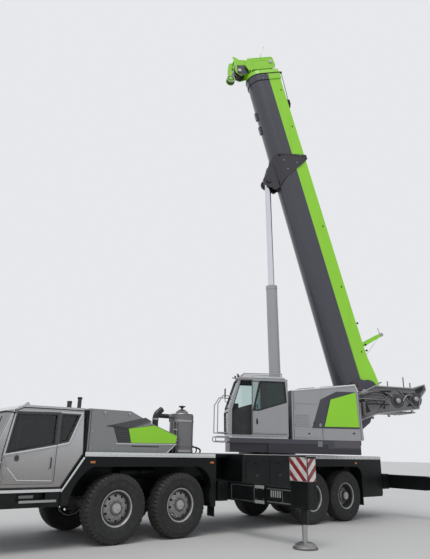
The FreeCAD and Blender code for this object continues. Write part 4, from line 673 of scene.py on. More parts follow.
def make_rim(steered):
    def rim(shape):
        edge = ((0.3217, -0.152), (0.3217, 0.152), (0.355, 0.152), (0.359, 0.160), (0.356, 0.170),
                (0.346, 0.171), (0.334, 0.163), (0.322, 0.150), (0.312, 0.140), (0.3077, 0.110),
                (0.3077, -0.140), (0.337, -0.168), (0.355, -0.168), (0.355, -0.152), (0.3217, -0.152))
        shape.lathe(edge, (0, 0, 0), (0, 1, 0), 72)
    def disc(shape):
        if steered:
            plate = ((0.3115, 0.066), (0.3115, 0.084), (0.290, 0.090), (0.262, 0.104), (0.225, 0.124),
                     (0.205, 0.129), (0.130, 0.130), (0.128, 0.112), (0.200, 0.108), (0.250, 0.086),
                     (0.295, 0.066), (0.3115, 0.066))
        else:
            plate = ((0.3115, -0.064), (0.3115, -0.042), (0.290, -0.036), (0.250, -0.040), (0.150, -0.040),
                     (0.150, -0.060), (0.290, -0.062), (0.3115, -0.064))
        shape.lathe(plate, (0, 0, 0), (0, 1, 0), 72)
    edge_mesh = shared_mesh(rim, "rim_edge")
    disc_mesh = cut_holes(shared_mesh(disc, "rim_disc"), ring_places(10, 0.245), 0.027)
    whole = bmesh.new()
    whole.from_mesh(edge_mesh)
    whole.from_mesh(disc_mesh)
    shape = Shape(Matrix.Identity(4))
    if steered:
        hub = ((0.0, -0.090), (0.135, -0.090), (0.135, 0.134), (0.132, 0.140), (0.104, 0.144),
               (0.101, 0.150), (0.092, 0.152), (0.088, 0.180), (0.080, 0.186), (0.0, 0.188))
        shape.lathe(hub, (0, 0, 0), (0, 1, 0), 48)
        nuts, face, reach = 0.168, 0.129, 0.024
    else:
        hub = ((0.0, -0.090), (0.160, -0.090), (0.163, 0.058), (0.158, 0.070), (0.132, 0.090),
               (0.126, 0.098), (0.118, 0.150), (0.106, 0.166), (0.0, 0.172))
        shape.lathe(hub, (0, 0, 0), (0, 1, 0), 48)
        nuts, face, reach = 0.205, -0.041, 0.030
    for x, z in ring_places(10, nuts, math.radians(18)):
        shape.lathe(((0.021, 0.0), (0.021, 0.004), (0.0165, 0.006), (0.0165, reach), (0.012, reach + 0.004)),
                    (x, face, z), (0, 1, 0), 6)
    cap_r, cap_y = (0.066, 0.187) if steered else (0.086, 0.171)
    for x, z in ring_places(8, cap_r):
        shape.lathe(((0.009, 0.0), (0.009, 0.007), (0.006, 0.008)), (x, cap_y - 0.001, z), (0, 1, 0), 6)
    shape.lathe(((0.026, -0.001), (0.026, 0.006), (0.020, 0.010), (0.0, 0.011)), (0, cap_y, 0), (0, 1, 0), 20)
    valve = (0.285, 0.115 if steered else 0.0, 0.0)
    shape.tube([(valve[0], valve[1] - 0.03, 0), (valve[0] - 0.004, valve[1] + 0.03, 0)], 0.005, 8)
    extra = bpy.data.meshes.new("rim_extra")
    shape.bm.to_mesh(extra)
    shape.bm.free()
    whole.from_mesh(extra)
    made = bpy.data.meshes.new("rim_steered" if steered else "rim_driven")
    whole.to_mesh(made)
    whole.free()
    return made


def tyre_material():
    t = Tree("mat_tyre", Specular_IOR_Level=0.35)
    away = t.add("ShaderNodeVectorMath", operation="LENGTH")
    flat = t.stretch((1, 0, 1))
    t.link(flat, away.inputs[0])
    radius = away.outputs["Value"]
    base = t.mix(t.noise(5, 4), (0.017, 0.0175, 0.018), (0.030, 0.030, 0.030))
    tread = t.span(radius, 0.60, 0.685)
    grit = t.span(t.noise(30, 6), 0.4, 0.7)
    base = t.mix(t.math("MULTIPLY", t.math("MULTIPLY", tread, grit), 0.55), base, (0.115, 0.105, 0.095))
    worn = t.math("MULTIPLY", t.span(t.noise(7, 6), 0.5, 0.8), 0.35)
    base = t.mix(worn, base, (0.085, 0.080, 0.072))
    t.link(base, t.shader.inputs["Base Color"])
    t.link(t.span(t.noise(16, 4), 0.3, 0.8, 0.62, 0.85), t.shader.inputs["Roughness"])
    wave = t.math("SINE", t.math("MULTIPLY", radius, 900))
    t.bump(t.math("ADD", t.math("MULTIPLY", wave, 0.25), t.noise(260, 3)), 0.25, 0.002)
    return t.material


MAT["tyre"] = tyre_material()
tyre_mesh = shared_mesh(make_tyre, "tyre")
rim_meshes = {True: make_rim(True), False: make_rim(False)}
for mesh, material, angle in ((tyre_mesh, "tyre", 30), (rim_meshes[True], "wheel", 28), (rim_meshes[False], "wheel", 28)):
    for polygon in mesh.polygons:
        polygon.use_smooth = True
    mesh.set_sharp_from_angle(angle=math.radians(angle))
    mesh.materials.clear()
    mesh.materials.append(MAT[material])
for side, word in SIDES:
    for number, x, steered in AXLES:
        tag = number + "_" + word
        centre = CARRIER @ Vector((x, side * TRACK_HALF, TYRE_R))
        for kind, mesh in (("tyre_", tyre_mesh), ("rim_", rim_meshes[steered])):
            piece = bpy.data.objects.new(kind + tag, mesh)
            bpy.context.scene.collection.objects.link(piece)
            turn = 0 if side == LEFT else math.pi
            piece.matrix_world = Matrix.Translation(centre) @ Matrix.Rotation(turn, 4, "Z") @ Matrix.Rotation(
                0.4 * int(number), 4, "Y")
            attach(piece, "wheel_" + tag)
            if kind == "tyre_":
                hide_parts("wheel_" + tag)


# More finishes

def striped(name, side, start):
    """White plate with red stripes that fall outwards."""
    t = Tree(name, Coat_Weight=0.4, Coat_Roughness=0.2)
    way = (0, side, 0) if side else (1, 0, 0)
    across = t.math("ADD", t.along(way), t.along((0, 0, 1)))
    phase = t.math("FRACT", t.math("DIVIDE", t.math("SUBTRACT", across, start), 0.262))
    red = t.span(phase, 0.480, 0.487, 1.0, 0.0)
    cells = t.add("ShaderNodeTexVoronoi", feature="F1")
    t.link(t.place, cells.inputs["Vector"])
    cells.inputs["Scale"].default_value = 260
    base = t.mix(red, (0.66, 0.62, 0.61), (0.235, 0.010, 0.017))
    dirt = t.math("MULTIPLY", t.span(t.noise(9, 6), 0.45, 0.8), 0.45)
    base = t.mix(dirt, base, (0.17, 0.15, 0.14))
    t.link(base, t.shader.inputs["Base Color"])
    t.link(t.span(t.noise(12, 4), 0.3, 0.8, 0.30, 0.46), t.shader.inputs["Roughness"])
    t.bump(cells.outputs["Distance"], 0.1, 0.0006)
    return t.material


MAT["stripes_left"] = striped("mat_stripes_left", 1, 4.80)
MAT["stripes_right"] = striped("mat_stripes_right", -1, 4.80)
MAT["gloss_black"] = painted("mat_gloss_black", (0.008, 0.009, 0.010), 0.10, 0.0, 0.8, dust=0.08, wear=0.0)
MAT["stripes_end_front"] = striped("mat_stripes_end_front", 0, 4.80)
MAT["stripes_end_rear"] = striped("mat_stripes_end_rear", 0, 4.80)
# Pale glossy paint that looks like glass: painted reflection of the bright sky
MAT["painted_pane_reflection"] = painted("mat_painted_pane_reflection", (0.30, 0.385, 0.37), 0.06, 0.0, 0.9, dust=0.02, wear=0.0)
MAT["dusky"] = painted("mat_dusky", (0.075, 0.035, 0.040), 0.5, 0.2, 0.1, dust=0.3, wear=0.5, dust_top=6.0)
MAT["pale"] = painted("mat_pale_plate", (0.34, 0.35, 0.33), 0.42, 0.1, 0.2, dust=0.2, wear=0.3)


def frame_plate(shape, outer, inner, a0, a1, plane="xz"):
    """A plate with a window: outer and inner outlines have as many corners."""
    for i in range(len(outer)):
        j = (i + 1) % len(outer)
        shape.prism((outer[i], outer[j], inner[j], inner[i]), a0, a1, plane)


def moved_in(points, gap):
    """A convex outline moved inwards by gap."""
    area = sum(a[0] * b[1] - b[0] * a[1] for a, b in zip(points, points[1:] + points[:1]))
    sign = 1 if area > 0 else -1
    out = []
    for i, here in enumerate(points):
        before, after = points[i - 1], points[(i + 1) % len(points)]
        lines = []
        for a, b in ((before, here), (here, after)):
            length = math.dist(a, b)
            nx, nz = -(b[1] - a[1]) / length * sign, (b[0] - a[0]) / length * sign
            lines.append((nx, nz, nx * a[0] + nz * a[1] + gap))
        (a1, b1, c1), (a2, b2, c2) = lines
        det = a1 * b2 - a2 * b1
        out.append(((c1 * b2 - c2 * b1) / det, (a1 * c2 - a2 * c1) / det))
    return out


def oval(x, z, half_wide, half_high, n=20):
    return [(x + half_wide * math.cos(t), z + half_high * math.sin(t))
            for t in (2 * math.pi * k / n for k in range(n))]


def seal(name, body, outline, y0, y1, gap=0.012, place=CARRIER):
    """Rubber frame round a pane."""
    s = Shape(place)
    frame_plate(s, moved_in(outline, -gap), moved_in(outline, 0.010), y0, y1)
    s.done(name, body, "rubber", 0.002)


# Carrier cab

DOOR_WINDOW = [(1.500, 1.935), (1.500, 2.470), (2.270, 2.445), (2.375, 1.765)]
DOOR_BAND = [(1.443, 1.905), (1.443, 2.522), (2.304, 2.494), (2.428, 1.730)]
QUARTER = [(1.240, 2.000), (1.040, 2.480), (1.385, 2.475), (1.385, 1.965)]
QUARTER_BAND = [(1.205, 1.965), (1.000, 2.510), (1.433, 2.510), (1.433, 1.915)]

for side, word in SIDES:
    door = "cab_door_" + word

    def y(offset):
        return side * (CAB_HALF + offset)

    s = Shape()
    frame_plate(s, DOOR_BAND, DOOR_WINDOW, y(-0.001), y(0.003))
    s.done("door_window_band_" + word, door, "gloss_black", 0.001)
    seal("door_window_seal_" + word, door, DOOR_WINDOW, y(0.002), y(0.007))
    s = Shape()
    frame_plate(s, QUARTER_BAND, QUARTER, y(-0.001), y(0.003))
    s.done("quarter_band_" + word, "carrier", "gloss_black", 0.001)
    seal("quarter_seal_" + word, "carrier", QUARTER, y(0.002), y(0.007))
    s = Shape()
    s.box((1.4330, 1.4375), (y(-0.030), y(0.004)), (1.240, 2.525))
    s.done("door_gap_seal_" + word, "carrier", "gloss_black")
    # Bright tubes along the window frames' edges: painted highlight
    s = Shape()
    s.tube([(2.322, y(0.004), 2.470), (2.440, y(0.004), 1.712), (2.20, y(0.004), 1.748), (1.449, y(0.004), 1.888)],
           0.015, 8)
    s.done("door_belt_highlight_" + word, door, "trim")
    s = Shape()
    s.tube([(1.431, y(0.004), 1.892), (1.222, y(0.004), 1.940), (1.186, y(0.004), 1.962),
            (0.978, y(0.004), 2.530), (1.431, y(0.004), 2.530)], 0.014, 8)
    s.done("quarter_belt_highlight_" + word, "carrier", "trim")
    # Pressed door panel, the handle in its bowl and the lock
    s = Shape()
    s.prism([(1.480, 1.256), (2.140, 1.272), (2.345, 1.482), (2.395, 1.560), (1.950, 1.640), (1.560, 1.845),
             (1.480, 1.850)], y(-0.001), y(0.012))
    s.done("door_pressing_" + word, door, "silver", 0.010, segments=3)
    # Bright tube along the pressing's front and lower edge: painted highlight
    s = Shape()
    s.tube([(2.352, y(0.003), 1.486), (2.143, y(0.003), 1.262), (1.482, y(0.003), 1.246)], 0.011, 8)
    s.done("door_crease_highlight_" + word, door, "trim")
    s = Shape()
    s.prism(oval(2.200, 1.655, 0.042, 0.055), y(-0.001), y(0.020))
    s.done("door_front_cap_" + word, door, "gloss_black", 0.010)
    s = Shape()
    s.tube([(2.336, y(0.0), 2.545), (2.470, y(0.0), 1.735), (2.470, y(0.0), 1.240)], 0.007, 6)
    s.done("door_front_joint_" + word, "carrier", "rubber")
    s = Shape()
    s.prism(oval(1.535, 1.572, 0.046, 0.128), y(0.004), y(0.010))
    s.done("door_handle_bowl_" + word, door, "plastic", 0.003)
    s = Shape()
    s.pipe([(1.535, y(0.008), 1.672), (1.535, y(0.030), 1.660), (1.535, y(0.030), 1.492),
            (1.535, y(0.008), 1.480)], 0.011, 0.02, 8)
    s.lathe(((0.011, 0.0), (0.011, 0.006), (0.007, 0.007)), (1.565, y(0.009), 1.466), (0, side, 0), 14)
    s.done("door_handle_" + word, door, "gloss_black")
    # Roof's dark joint above the doors
    s = Shape()
    s.tube([(0.936, y(0.012), 2.590), (1.60, y(0.012), 2.586), (2.18, y(0.012), 2.580),
            (2.325, y(0.012), 2.512)], 0.009, 8)
    s.done("roof_joint_" + word, "carrier", "rubber")
    # Bright line round the cab's foot and up the wing
    s = Shape()
    s.prism([(1.268, 1.046), (1.268, 1.098), (2.770, 1.098), (2.800, 1.046)], y(-0.001), y(0.014))
    s.done("skirt_line_" + word, "carrier", "trim", 0.004)
    s = Shape()
    w0, w1 = side * (BODY_HALF - 0.001), side * (BODY_HALF + 0.009)
    s.prism([(1.262, 1.040), (1.262, 1.098), (0.871, 1.686), (0.832, 1.672)], w0, w1)
    s.prism([(1.262, 1.040), (1.262, 1.098), (1.268, 1.098), (1.268, 1.040)], y(-0.001), w1)
    s.done("wing_line_" + word, "carrier", "trim", 0.003)
    s = Shape()
    s.tube([(2.775, y(0.0), 1.120), (1.290, y(0.0), 1.120), (0.884, y(0.0), 1.734)], 0.018, 8)
    s.tube([(0.880, y(0.002), 1.74), (0.880, y(0.002), 1.80), (0.934, y(0.002), 2.635)], 0.009, 8)
    s.done("cab_edge_joint_" + word, "carrier", "rubber")
    # Step's tread and lamp
    s = Shape()
    for i in range(15):
        x = 1.37 + 0.046 * i
        s.box((x, x + 0.020), (y(-0.094), y(0.014)), (0.905, 0.912))
    s.done("cab_step_grip_" + word, "carrier", "steel", 0.001)
    s = Shape()
    s.prism([(1.345, 0.866), (1.345, 0.908), (2.062, 0.908), (2.062, 0.866)], y(0.017), y(0.022))
    s.done("cab_step_edge_" + word, "carrier", "pale", 0.002)
    s = Shape()
    s.box((1.75, 2.03), (y(-0.140), y(-0.112)), (0.935, 0.990))
    s.done("step_lamp_" + word, "carrier", "pale", 0.006)
    # Lamps under the deck's edge
    for x in (0.662, -2.432, -5.60, -8.00):
        tag = "%s_%d" % (word, abs(int(x * 1000)))
        s = Shape()
        s.box((x - 0.052, x + 0.052), (side * (BODY_HALF - 0.002), side * (BODY_HALF + 0.016)), (1.568, 1.606))
        s.done("side_lamp_" + tag, "carrier", "orange", 0.005)
        s = Shape()
        s.box((x - 0.066, x + 0.066), (side * (BODY_HALF - 0.002), side * (BODY_HALF + 0.008)), (1.556, 1.618))
        s.done("side_lamp_base_" + tag, "carrier", "plastic", 0.003)
    # Bright line along the deck
    for k, (x0, x1) in enumerate(((0.845, -2.535), (-5.76, -9.29))):
        s = Shape()
        s.box((x0, x1), (side * (BODY_HALF - 0.001), side * (BODY_HALF + 0.010)), (1.697, 1.783))
        s.box((x0 - 0.004, x1 + 0.004), (side * (BODY_HALF + 0.009), side * (BODY_HALF + 0.016)), (1.730, 1.750))
        s.done("deck_line_%s_%d" % (word, k), "carrier", "trim", 0.003)
    s = Shape()
    s.tube([(-3.46, side * BODY_HALF, 1.7845), (-5.76, side * BODY_HALF, 1.7845)], 0.006, 6)
    s.done("deck_edge_%s" % word, "carrier", "trim")
    # Mirror glass and lamps
    f0, f1 = CAB_HALF + 0.165 - 0.095, CAB_HALF + 0.165 + 0.095
    s = Shape()
    s.box((2.709, 2.717), (side * f0, side * f1), (2.022, 2.378))
    s.box((2.709, 2.717), (side * (f0 + 0.01), side * (f1 - 0.01)), (1.808, 1.947))
    s.done("mirror_glass_" + word, "carrier", "chrome", 0.001)
    s = Shape()
    for y0 in (0.93, 1.13):
        s.lathe(((0.070, 0.0), (0.070, 0.008), (0.062, 0.016), (0.036, 0.024), (0.0, 0.026)),
                (2.902, side * y0, 1.0025), (1, 0, 0), 32)
    s.done("headlamp_" + word, "carrier", "clear")
    s = Shape()
    for y0 in (0.93, 1.13):
        s.lathe(((0.082, 0.0), (0.082, 0.012), (0.074, 0.016), (0.071, 0.012), (0.071, 0.0)),
                (2.889, side * y0, 1.0025), (1, 0, 0), 32)
    s.done("headlamp_ring_" + word, "carrier", "chrome")
    s = Shape()
    s.box((2.884, 2.902), (side * 1.222, side * 1.275), (0.945, 1.060))
    s.done("indicator_" + word, "carrier", "orange", 0.008)
    # Bellows between cab and hood
    s = Shape()
    for k in range(3):
        s.box((0.797 + 0.024 * k, 0.815 + 0.024 * k), (side * 1.05, side * (1.318 - 0.006 * (k % 2))), (1.79, 2.612))
    s.done("cab_hood_bellows_" + word, "carrier", "rubber", 0.006)

# Windscreen, wipers, front grille
LOW, HIGH = Vector((2.640, 0, 1.720)), Vector((2.350, 0, 2.540))
slope = (HIGH - LOW).normalized()
outward = Vector((slope.z, 0, -slope.x))
SCREEN = CARRIER @ Matrix(((slope.x, 0, outward.x, LOW.x), (0, -1, 0, 0),
                           (slope.z, 0, outward.z, LOW.z), (0, 0, 0, 1)))
s = Shape(SCREEN)
frame_plate(s, [(0.004, -1.285), (0.004, 1.285), (0.866, 1.270), (0.866, -1.270)],
            [(0.045, -1.186), (0.045, 1.186), (0.842, 1.186), (0.842, -1.186)], -0.001, 0.005, "xy")
s.done("screen_band", "carrier", "gloss_black", 0.002)
for k, across in enumerate((-0.80, 0.0, 0.80)):
    s = Shape(SCREEN)
    s.pipe([(-0.03, across, 0.010), (0.03, across, 0.040), (0.50, across + 0.26, 0.034)], 0.008, 0.03, 8)
    s.tube([(0.16, across + 0.20, 0.020), (0.78, across + 0.30, 0.016)], 0.009, 6)
    s.lathe(((0.024, -0.02), (0.024, 0.02), (0.014, 0.03)), (-0.03, across, -0.01), (0, 0, 1), 14)
    s.done("wiper_%d" % k, "carrier", "plastic")
s = Shape()
frame_plate(s, [(-0.70, 1.150), (0.70, 1.150), (0.70, 1.520), (-0.70, 1.520)],
            [(-0.66, 1.175), (0.66, 1.175), (0.66, 1.495), (-0.66, 1.495)], 2.78, 2.915, "yz")
for k in range(6):
    s.prism([(2.80, 1.195 + 0.05 * k), (2.909, 1.190 + 0.05 * k), (2.912, 1.214 + 0.05 * k), (2.80, 1.219 + 0.05 * k)],
            -0.67, 0.67)
s.done("front_grille", "carrier", "plastic", 0.004)
s = Shape()
s.box((2.893, 2.908), (-0.26, 0.26), (0.925, 1.035))
s.done("blank_plate", "carrier", "white", 0.004)
s = Shape()
for across in (-0.62, 0.62):
    s.prism([(2.80, 0.800), (2.925, 0.800), (2.925, 0.835), (2.80, 0.835)], across - 0.05, across + 0.05)
    s.cyl((2.85, across - 0.055, 0.815), (2.85, across + 0.055, 0.815), 0.017)
s.done("tow_eyes", "carrier", "black", 0.006)
s = Shape()
for across in (-1.0, 1.0):
    s.pipe([(2.660, across * 0.62, 1.700), (2.720, across * 0.62, 1.745), (2.720, across, 1.745),
            (2.660, across, 1.700)], 0.011, 0.03, 8)
s.done("screen_grab_bars", "carrier", "plastic")

# Roof fittings over the solid ones
s = Shape()
for x, top in ((1.200, 2.775), (0.980, 2.870)):
    s.lathe(((0.056, 2.632), (0.056, 2.650), (0.050, 2.656)), (x, 1.150, 0), (0, 0, 1), 24)
    s.lathe(((0.049, top - 0.035), (0.052, top - 0.030), (0.052, top - 0.006), (0.044, top + 0.004), (0.0, top + 0.006)),
            (x, 1.150, 0), (0, 0, 1), 24)
s.done("roof_lamp_rims", "carrier", "plastic")
s = Shape()
for x0, x1 in ((1.09, 1.30), (1.36, 1.57)):
    s.box((x0, x1), (-0.38, 0.38), (2.664, 2.676))
s.done("roof_hatch_panels", "carrier", "silver", 0.008, segments=3)
s = Shape()
for x in (1.8, 2.0):
    s.box((x - 0.02, x + 0.02), (-1.15, 1.15), (2.628, 2.636))
s.done("roof_ribs", "carrier", "silver", 0.003)

# Engine hood
for side, word in SIDES:
    def y(offset):
        return side * (HOOD_HALF + offset)

    s = Shape()
    frame_plate(s, moved_in(GREEN_PANEL, -0.006), moved_in(GREEN_PANEL, 0.002), y(-0.001), y(0.004))
    s.done("hood_panel_joint_" + word, "carrier", "rubber")
    s = Shape()
    for k in range(6):
        z = 2.006 + 0.050 * k
        lean = (z - 1.98) * 0.38
        s.prism([(0.078 + lean, z), (-0.205 + lean * 0.22, z), (-0.205 + lean * 0.22, z + 0.016),
                 (0.078 + lean, z + 0.016)], y(-0.001), y(0.009))
    s.done("hood_slats_" + word, "carrier", "charcoal", 0.003)
    s = Shape()
    s.box((-0.25, -0.95), (y(-0.001), y(0.004)), (1.905, 1.925))
    s.box((0.748, 0.756), (y(-0.001), y(0.004)), (1.800, 2.630))
    s.tube([(0.38, y(0.004), 2.309), (-0.14, y(0.004), 2.284), (-0.745, y(0.004), 2.449)], 0.005, 6)
    s.done("hood_joints_" + word, "carrier", "rubber")
    s = Shape()
    s.prism([(-1.412, 1.992), (-1.440, 1.996), (-1.190, 1.786), (-1.160, 1.786)], y(-0.004), y(0.010))
    s.done("hood_tail_line_" + word, "carrier", "trim", 0.002)
    s = Shape()
    for x, z in ((0.70, 1.86), (0.70, 2.20), (0.70, 2.54), (0.20, 1.86), (-0.30, 1.86), (-0.85, 1.86)):
        s.bolt((x, y(-0.001), z), (0, side, 0), 0.011, 0.007)
    s.done("hood_bolts_" + word, "carrier", "steel")
    s = Shape()
    for x in (0.45, -0.15):
        s.box((x - 0.035, x + 0.035), (y(0.0), y(0.014)), (2.575, 2.615))
        s.box((x - 0.014, x + 0.014), (y(0.0), y(0.020)), (2.540, 2.600))
    s.done("hood_latches_" + word, "carrier", "steel", 0.003)
for k, (x0, x1) in enumerate(((0.600, 0.420), (0.360, 0.180), (0.120, -0.060))):
    s = Shape()
    for i in range(17):
        across = -0.77 + 0.092 * i
        s.box((x0 - 0.025, x1 + 0.025), (across, across + 0.050), (2.660, 2.667))
    s.done("hood_vent_slots_%d" % k, "carrier", "rubber", 0.002)
s = Shape()
for k in range(10):
    a = k / 10
    x, z = -0.26 - 0.47 * a, 2.622 - 0.200 * a
    s.prism([(x, z), (x - 0.032, z - 0.0137), (x - 0.024, z + 0.010), (x - 0.002, z + 0.020)], -0.62, 0.62)
s.done("hood_slope_grille", "carrier", "charcoal", 0.002)

# Exhaust and air cleaner
s = Shape()
for z in (2.02, 2.34, 2.52):
    s.lathe(((0.071, z), (0.077, z + 0.003), (0.077, z + 0.037), (0.071, z + 0.040)), (-1.075, 0.9, 0), (0, 0, 1), 32)
s.box((-1.02, -0.98), (0.88, 0.92), (2.10, 2.20))
s.done("exhaust_clamps", "carrier", "steel")
s = Shape()
s.lathe(((0.291, 1.81), (0.299, 1.815), (0.299, 1.855), (0.291, 1.86)), (-1.83, 0.9, 0), (0, 0, 1), 56)
s.lathe(((0.291, 2.50), (0.298, 2.505), (0.298, 2.545), (0.291, 2.55)), (-1.83, 0.9, 0), (0, 0, 1), 56)
s.lathe(((0.272, 2.6805), (0.285, 2.684), (0.278, 2.694), (0.262, 2.690)), (-1.83, 0.9, 0), (0, 0, 1), 56)
for k in range(8):
    t = 2 * math.pi * k / 8
    s.bolt((-1.83 + 0.22 * math.cos(t), 0.9 + 0.22 * math.sin(t), 2.679), (0, 0, 1), 0.012, 0.012)
s.done("cleaner_bands", "carrier", "steel")
s = Shape()
s.lathe(((0.0, 2.6815), (0.152, 2.682), (0.150, 2.720), (0.140, 2.752), (0.084, 2.797), (0.032, 2.8075), (0.0, 2.8085)),
        (-1.83, 0.9, 0), (0, 0, 1), 40)
s.lathe(((0.028, 2.80), (0.029, 2.845), (0.084, 2.868), (0.085, 2.874), (0.078, 2.888), (0.04, 2.897), (0.0, 2.898)),
        (-1.83, 0.9, 0), (0, 0, 1), 32)
s.done("cleaner_cap", "carrier", "plastic")
s = Shape()
for z in (2.05, 2.30):
    s.box((-1.585, -1.475), (1.040, 1.115), (z, z + 0.030))
s.done("riser_clips", "carrier", "steel", 0.003)
s = Shape()
s.pipe([(-1.52, 0.66, 1.80), (-1.50, 0.62, 2.25), (-1.32, 0.55, 2.40), (-1.12, 0.5, 2.36)], 0.026, 0.10, 12)
s.done("intake_hoses", "carrier", "hose")


# Deck: checker plate and hoses

s = Shape()
s.box((-2.58, -2.30), (-0.80, 0.80), (1.780, 1.800))
s.box((-4.62, -3.36), (-0.78, 0.78), (1.780, 1.787))
s.box((-9.30, -6.55), (-1.30, -0.40), (1.780, 1.787))
s.box((-9.30, -6.55), (0.40, 1.30), (1.780, 1.787))
s.done("deck_treads", "carrier", "steel", 0.003)
s = Shape()
for x0 in (-3.42, -3.80, -4.18, -6.70, -7.20, -7.70, -8.20, -8.70):
    for i in range(18):
        for k in range(6):
            cx, cy = x0 - 0.06 * k, -0.72 + 0.085 * i
            if x0 < -6:
                cy = (0.46 + 0.045 * i) * (1 if k % 2 else -1)
            s.box((cx - 0.011, cx + 0.011), (cy - 0.003, cy + 0.003), (1.786, 1.789))
s.done("deck_studs", "carrier", "steel")
for side, word in SIDES:
    s = Shape()
    s.pipe([(-2.16, side * 0.62, 1.79), (-2.24, side * 0.66, 1.92), (-2.44, side * 0.66, 1.94),
            (-2.66, side * 0.60, 1.88), (-2.72, side * 0.50, 1.79)], 0.020, 0.12, 10)
    s.pipe([(-2.14, side * 0.50, 1.79), (-2.24, side * 0.50, 1.95), (-2.46, side * 0.48, 1.98),
            (-2.68, side * 0.42, 1.90), (-2.72, side * 0.32, 1.79)], 0.016, 0.12, 10)
    s.done("deck_hoses_" + word, "carrier", "hose")


# Frame between the wheels, seen from the side

for side, word in SIDES:
    s = Shape()
    for k, x in enumerate((-0.62, -0.98)):
        s.lathe(((0.0, -0.30), (0.11, -0.29), (0.13, -0.25), (0.13, 0.25), (0.11, 0.29), (0.0, 0.30)),
                (x, side * 0.62, 1.36), (1, 0, 0), 28)
    s.done("air_tanks_" + word, "carrier", "black")
    s = Shape()
    for x in (-5.62, -6.80, -7.95):
        s.box((x - 0.03, x + 0.03), (side * 0.50, side * 0.965), (1.40, 1.56))
    s.box((-2.40, -2.55), (side * 1.10, side * 1.374), (0.70, 1.00))
    s.done("wing_brackets_" + word, "carrier", "black", 0.006)
    s = Shape()
    for x0, x1 in ((-3.52, -4.29), (-4.35, -5.12)):
        middle = (x0 + x1) / 2
        frame_plate(s, [(x0 - 0.02, 0.91), (x1 + 0.02, 0.91), (x1 + 0.02, 1.63), (x0 - 0.02, 1.63)],
                    [(x0 - 0.05, 0.94), (x1 + 0.05, 0.94), (x1 + 0.05, 1.60), (x0 - 0.05, 1.60)],
                    side * (BODY_HALF + 0.007), side * (BODY_HALF + 0.012))
        s.cyl((x0 - 0.06, side * (BODY_HALF + 0.012), 1.645), (x0 - 0.16, side * (BODY_HALF + 0.012), 1.645), 0.012)
        s.cyl((x1 + 0.06, side * (BODY_HALF + 0.012), 1.645), (x1 + 0.16, side * (BODY_HALF + 0.012), 1.645), 0.012)
    s.done("locker_trim_" + word, "carrier", "black", 0.003)
    s = Shape()
    for x0, x1 in ((-3.52, -4.29), (-4.35, -5.12)):
        middle = (x0 + x1) / 2
        s.prism(oval(middle, 1.28, 0.055, 0.040), side * (BODY_HALF + 0.007), side * (BODY_HALF + 0.014))
    s.done("locker_latches_" + word, "carrier", "plastic", 0.002)

# Tail lamps
for side, word in SIDES:
    s = Shape()
    for across, kind in ((0.458, "red"), (0.738, "red")):
        s.lathe(((0.050, 0.0), (0.050, 0.010), (0.040, 0.018), (0.0, 0.020)), (-10.100, side * across, 1.465),
                (-1, 0, 0), 28)
    s.done("tail_lamps_" + word, "carrier", "red")
    s = Shape()
    s.lathe(((0.050, 0.0), (0.050, 0.010), (0.040, 0.018), (0.0, 0.020)), (-10.100, side * 0.598, 1.465),
            (-1, 0, 0), 28)
    s.done("tail_indicator_" + word, "carrier", "orange")


# Outriggers

BEAM_HALF = 0.130
CASE_HALF = 0.250
SPREAD = 3.650

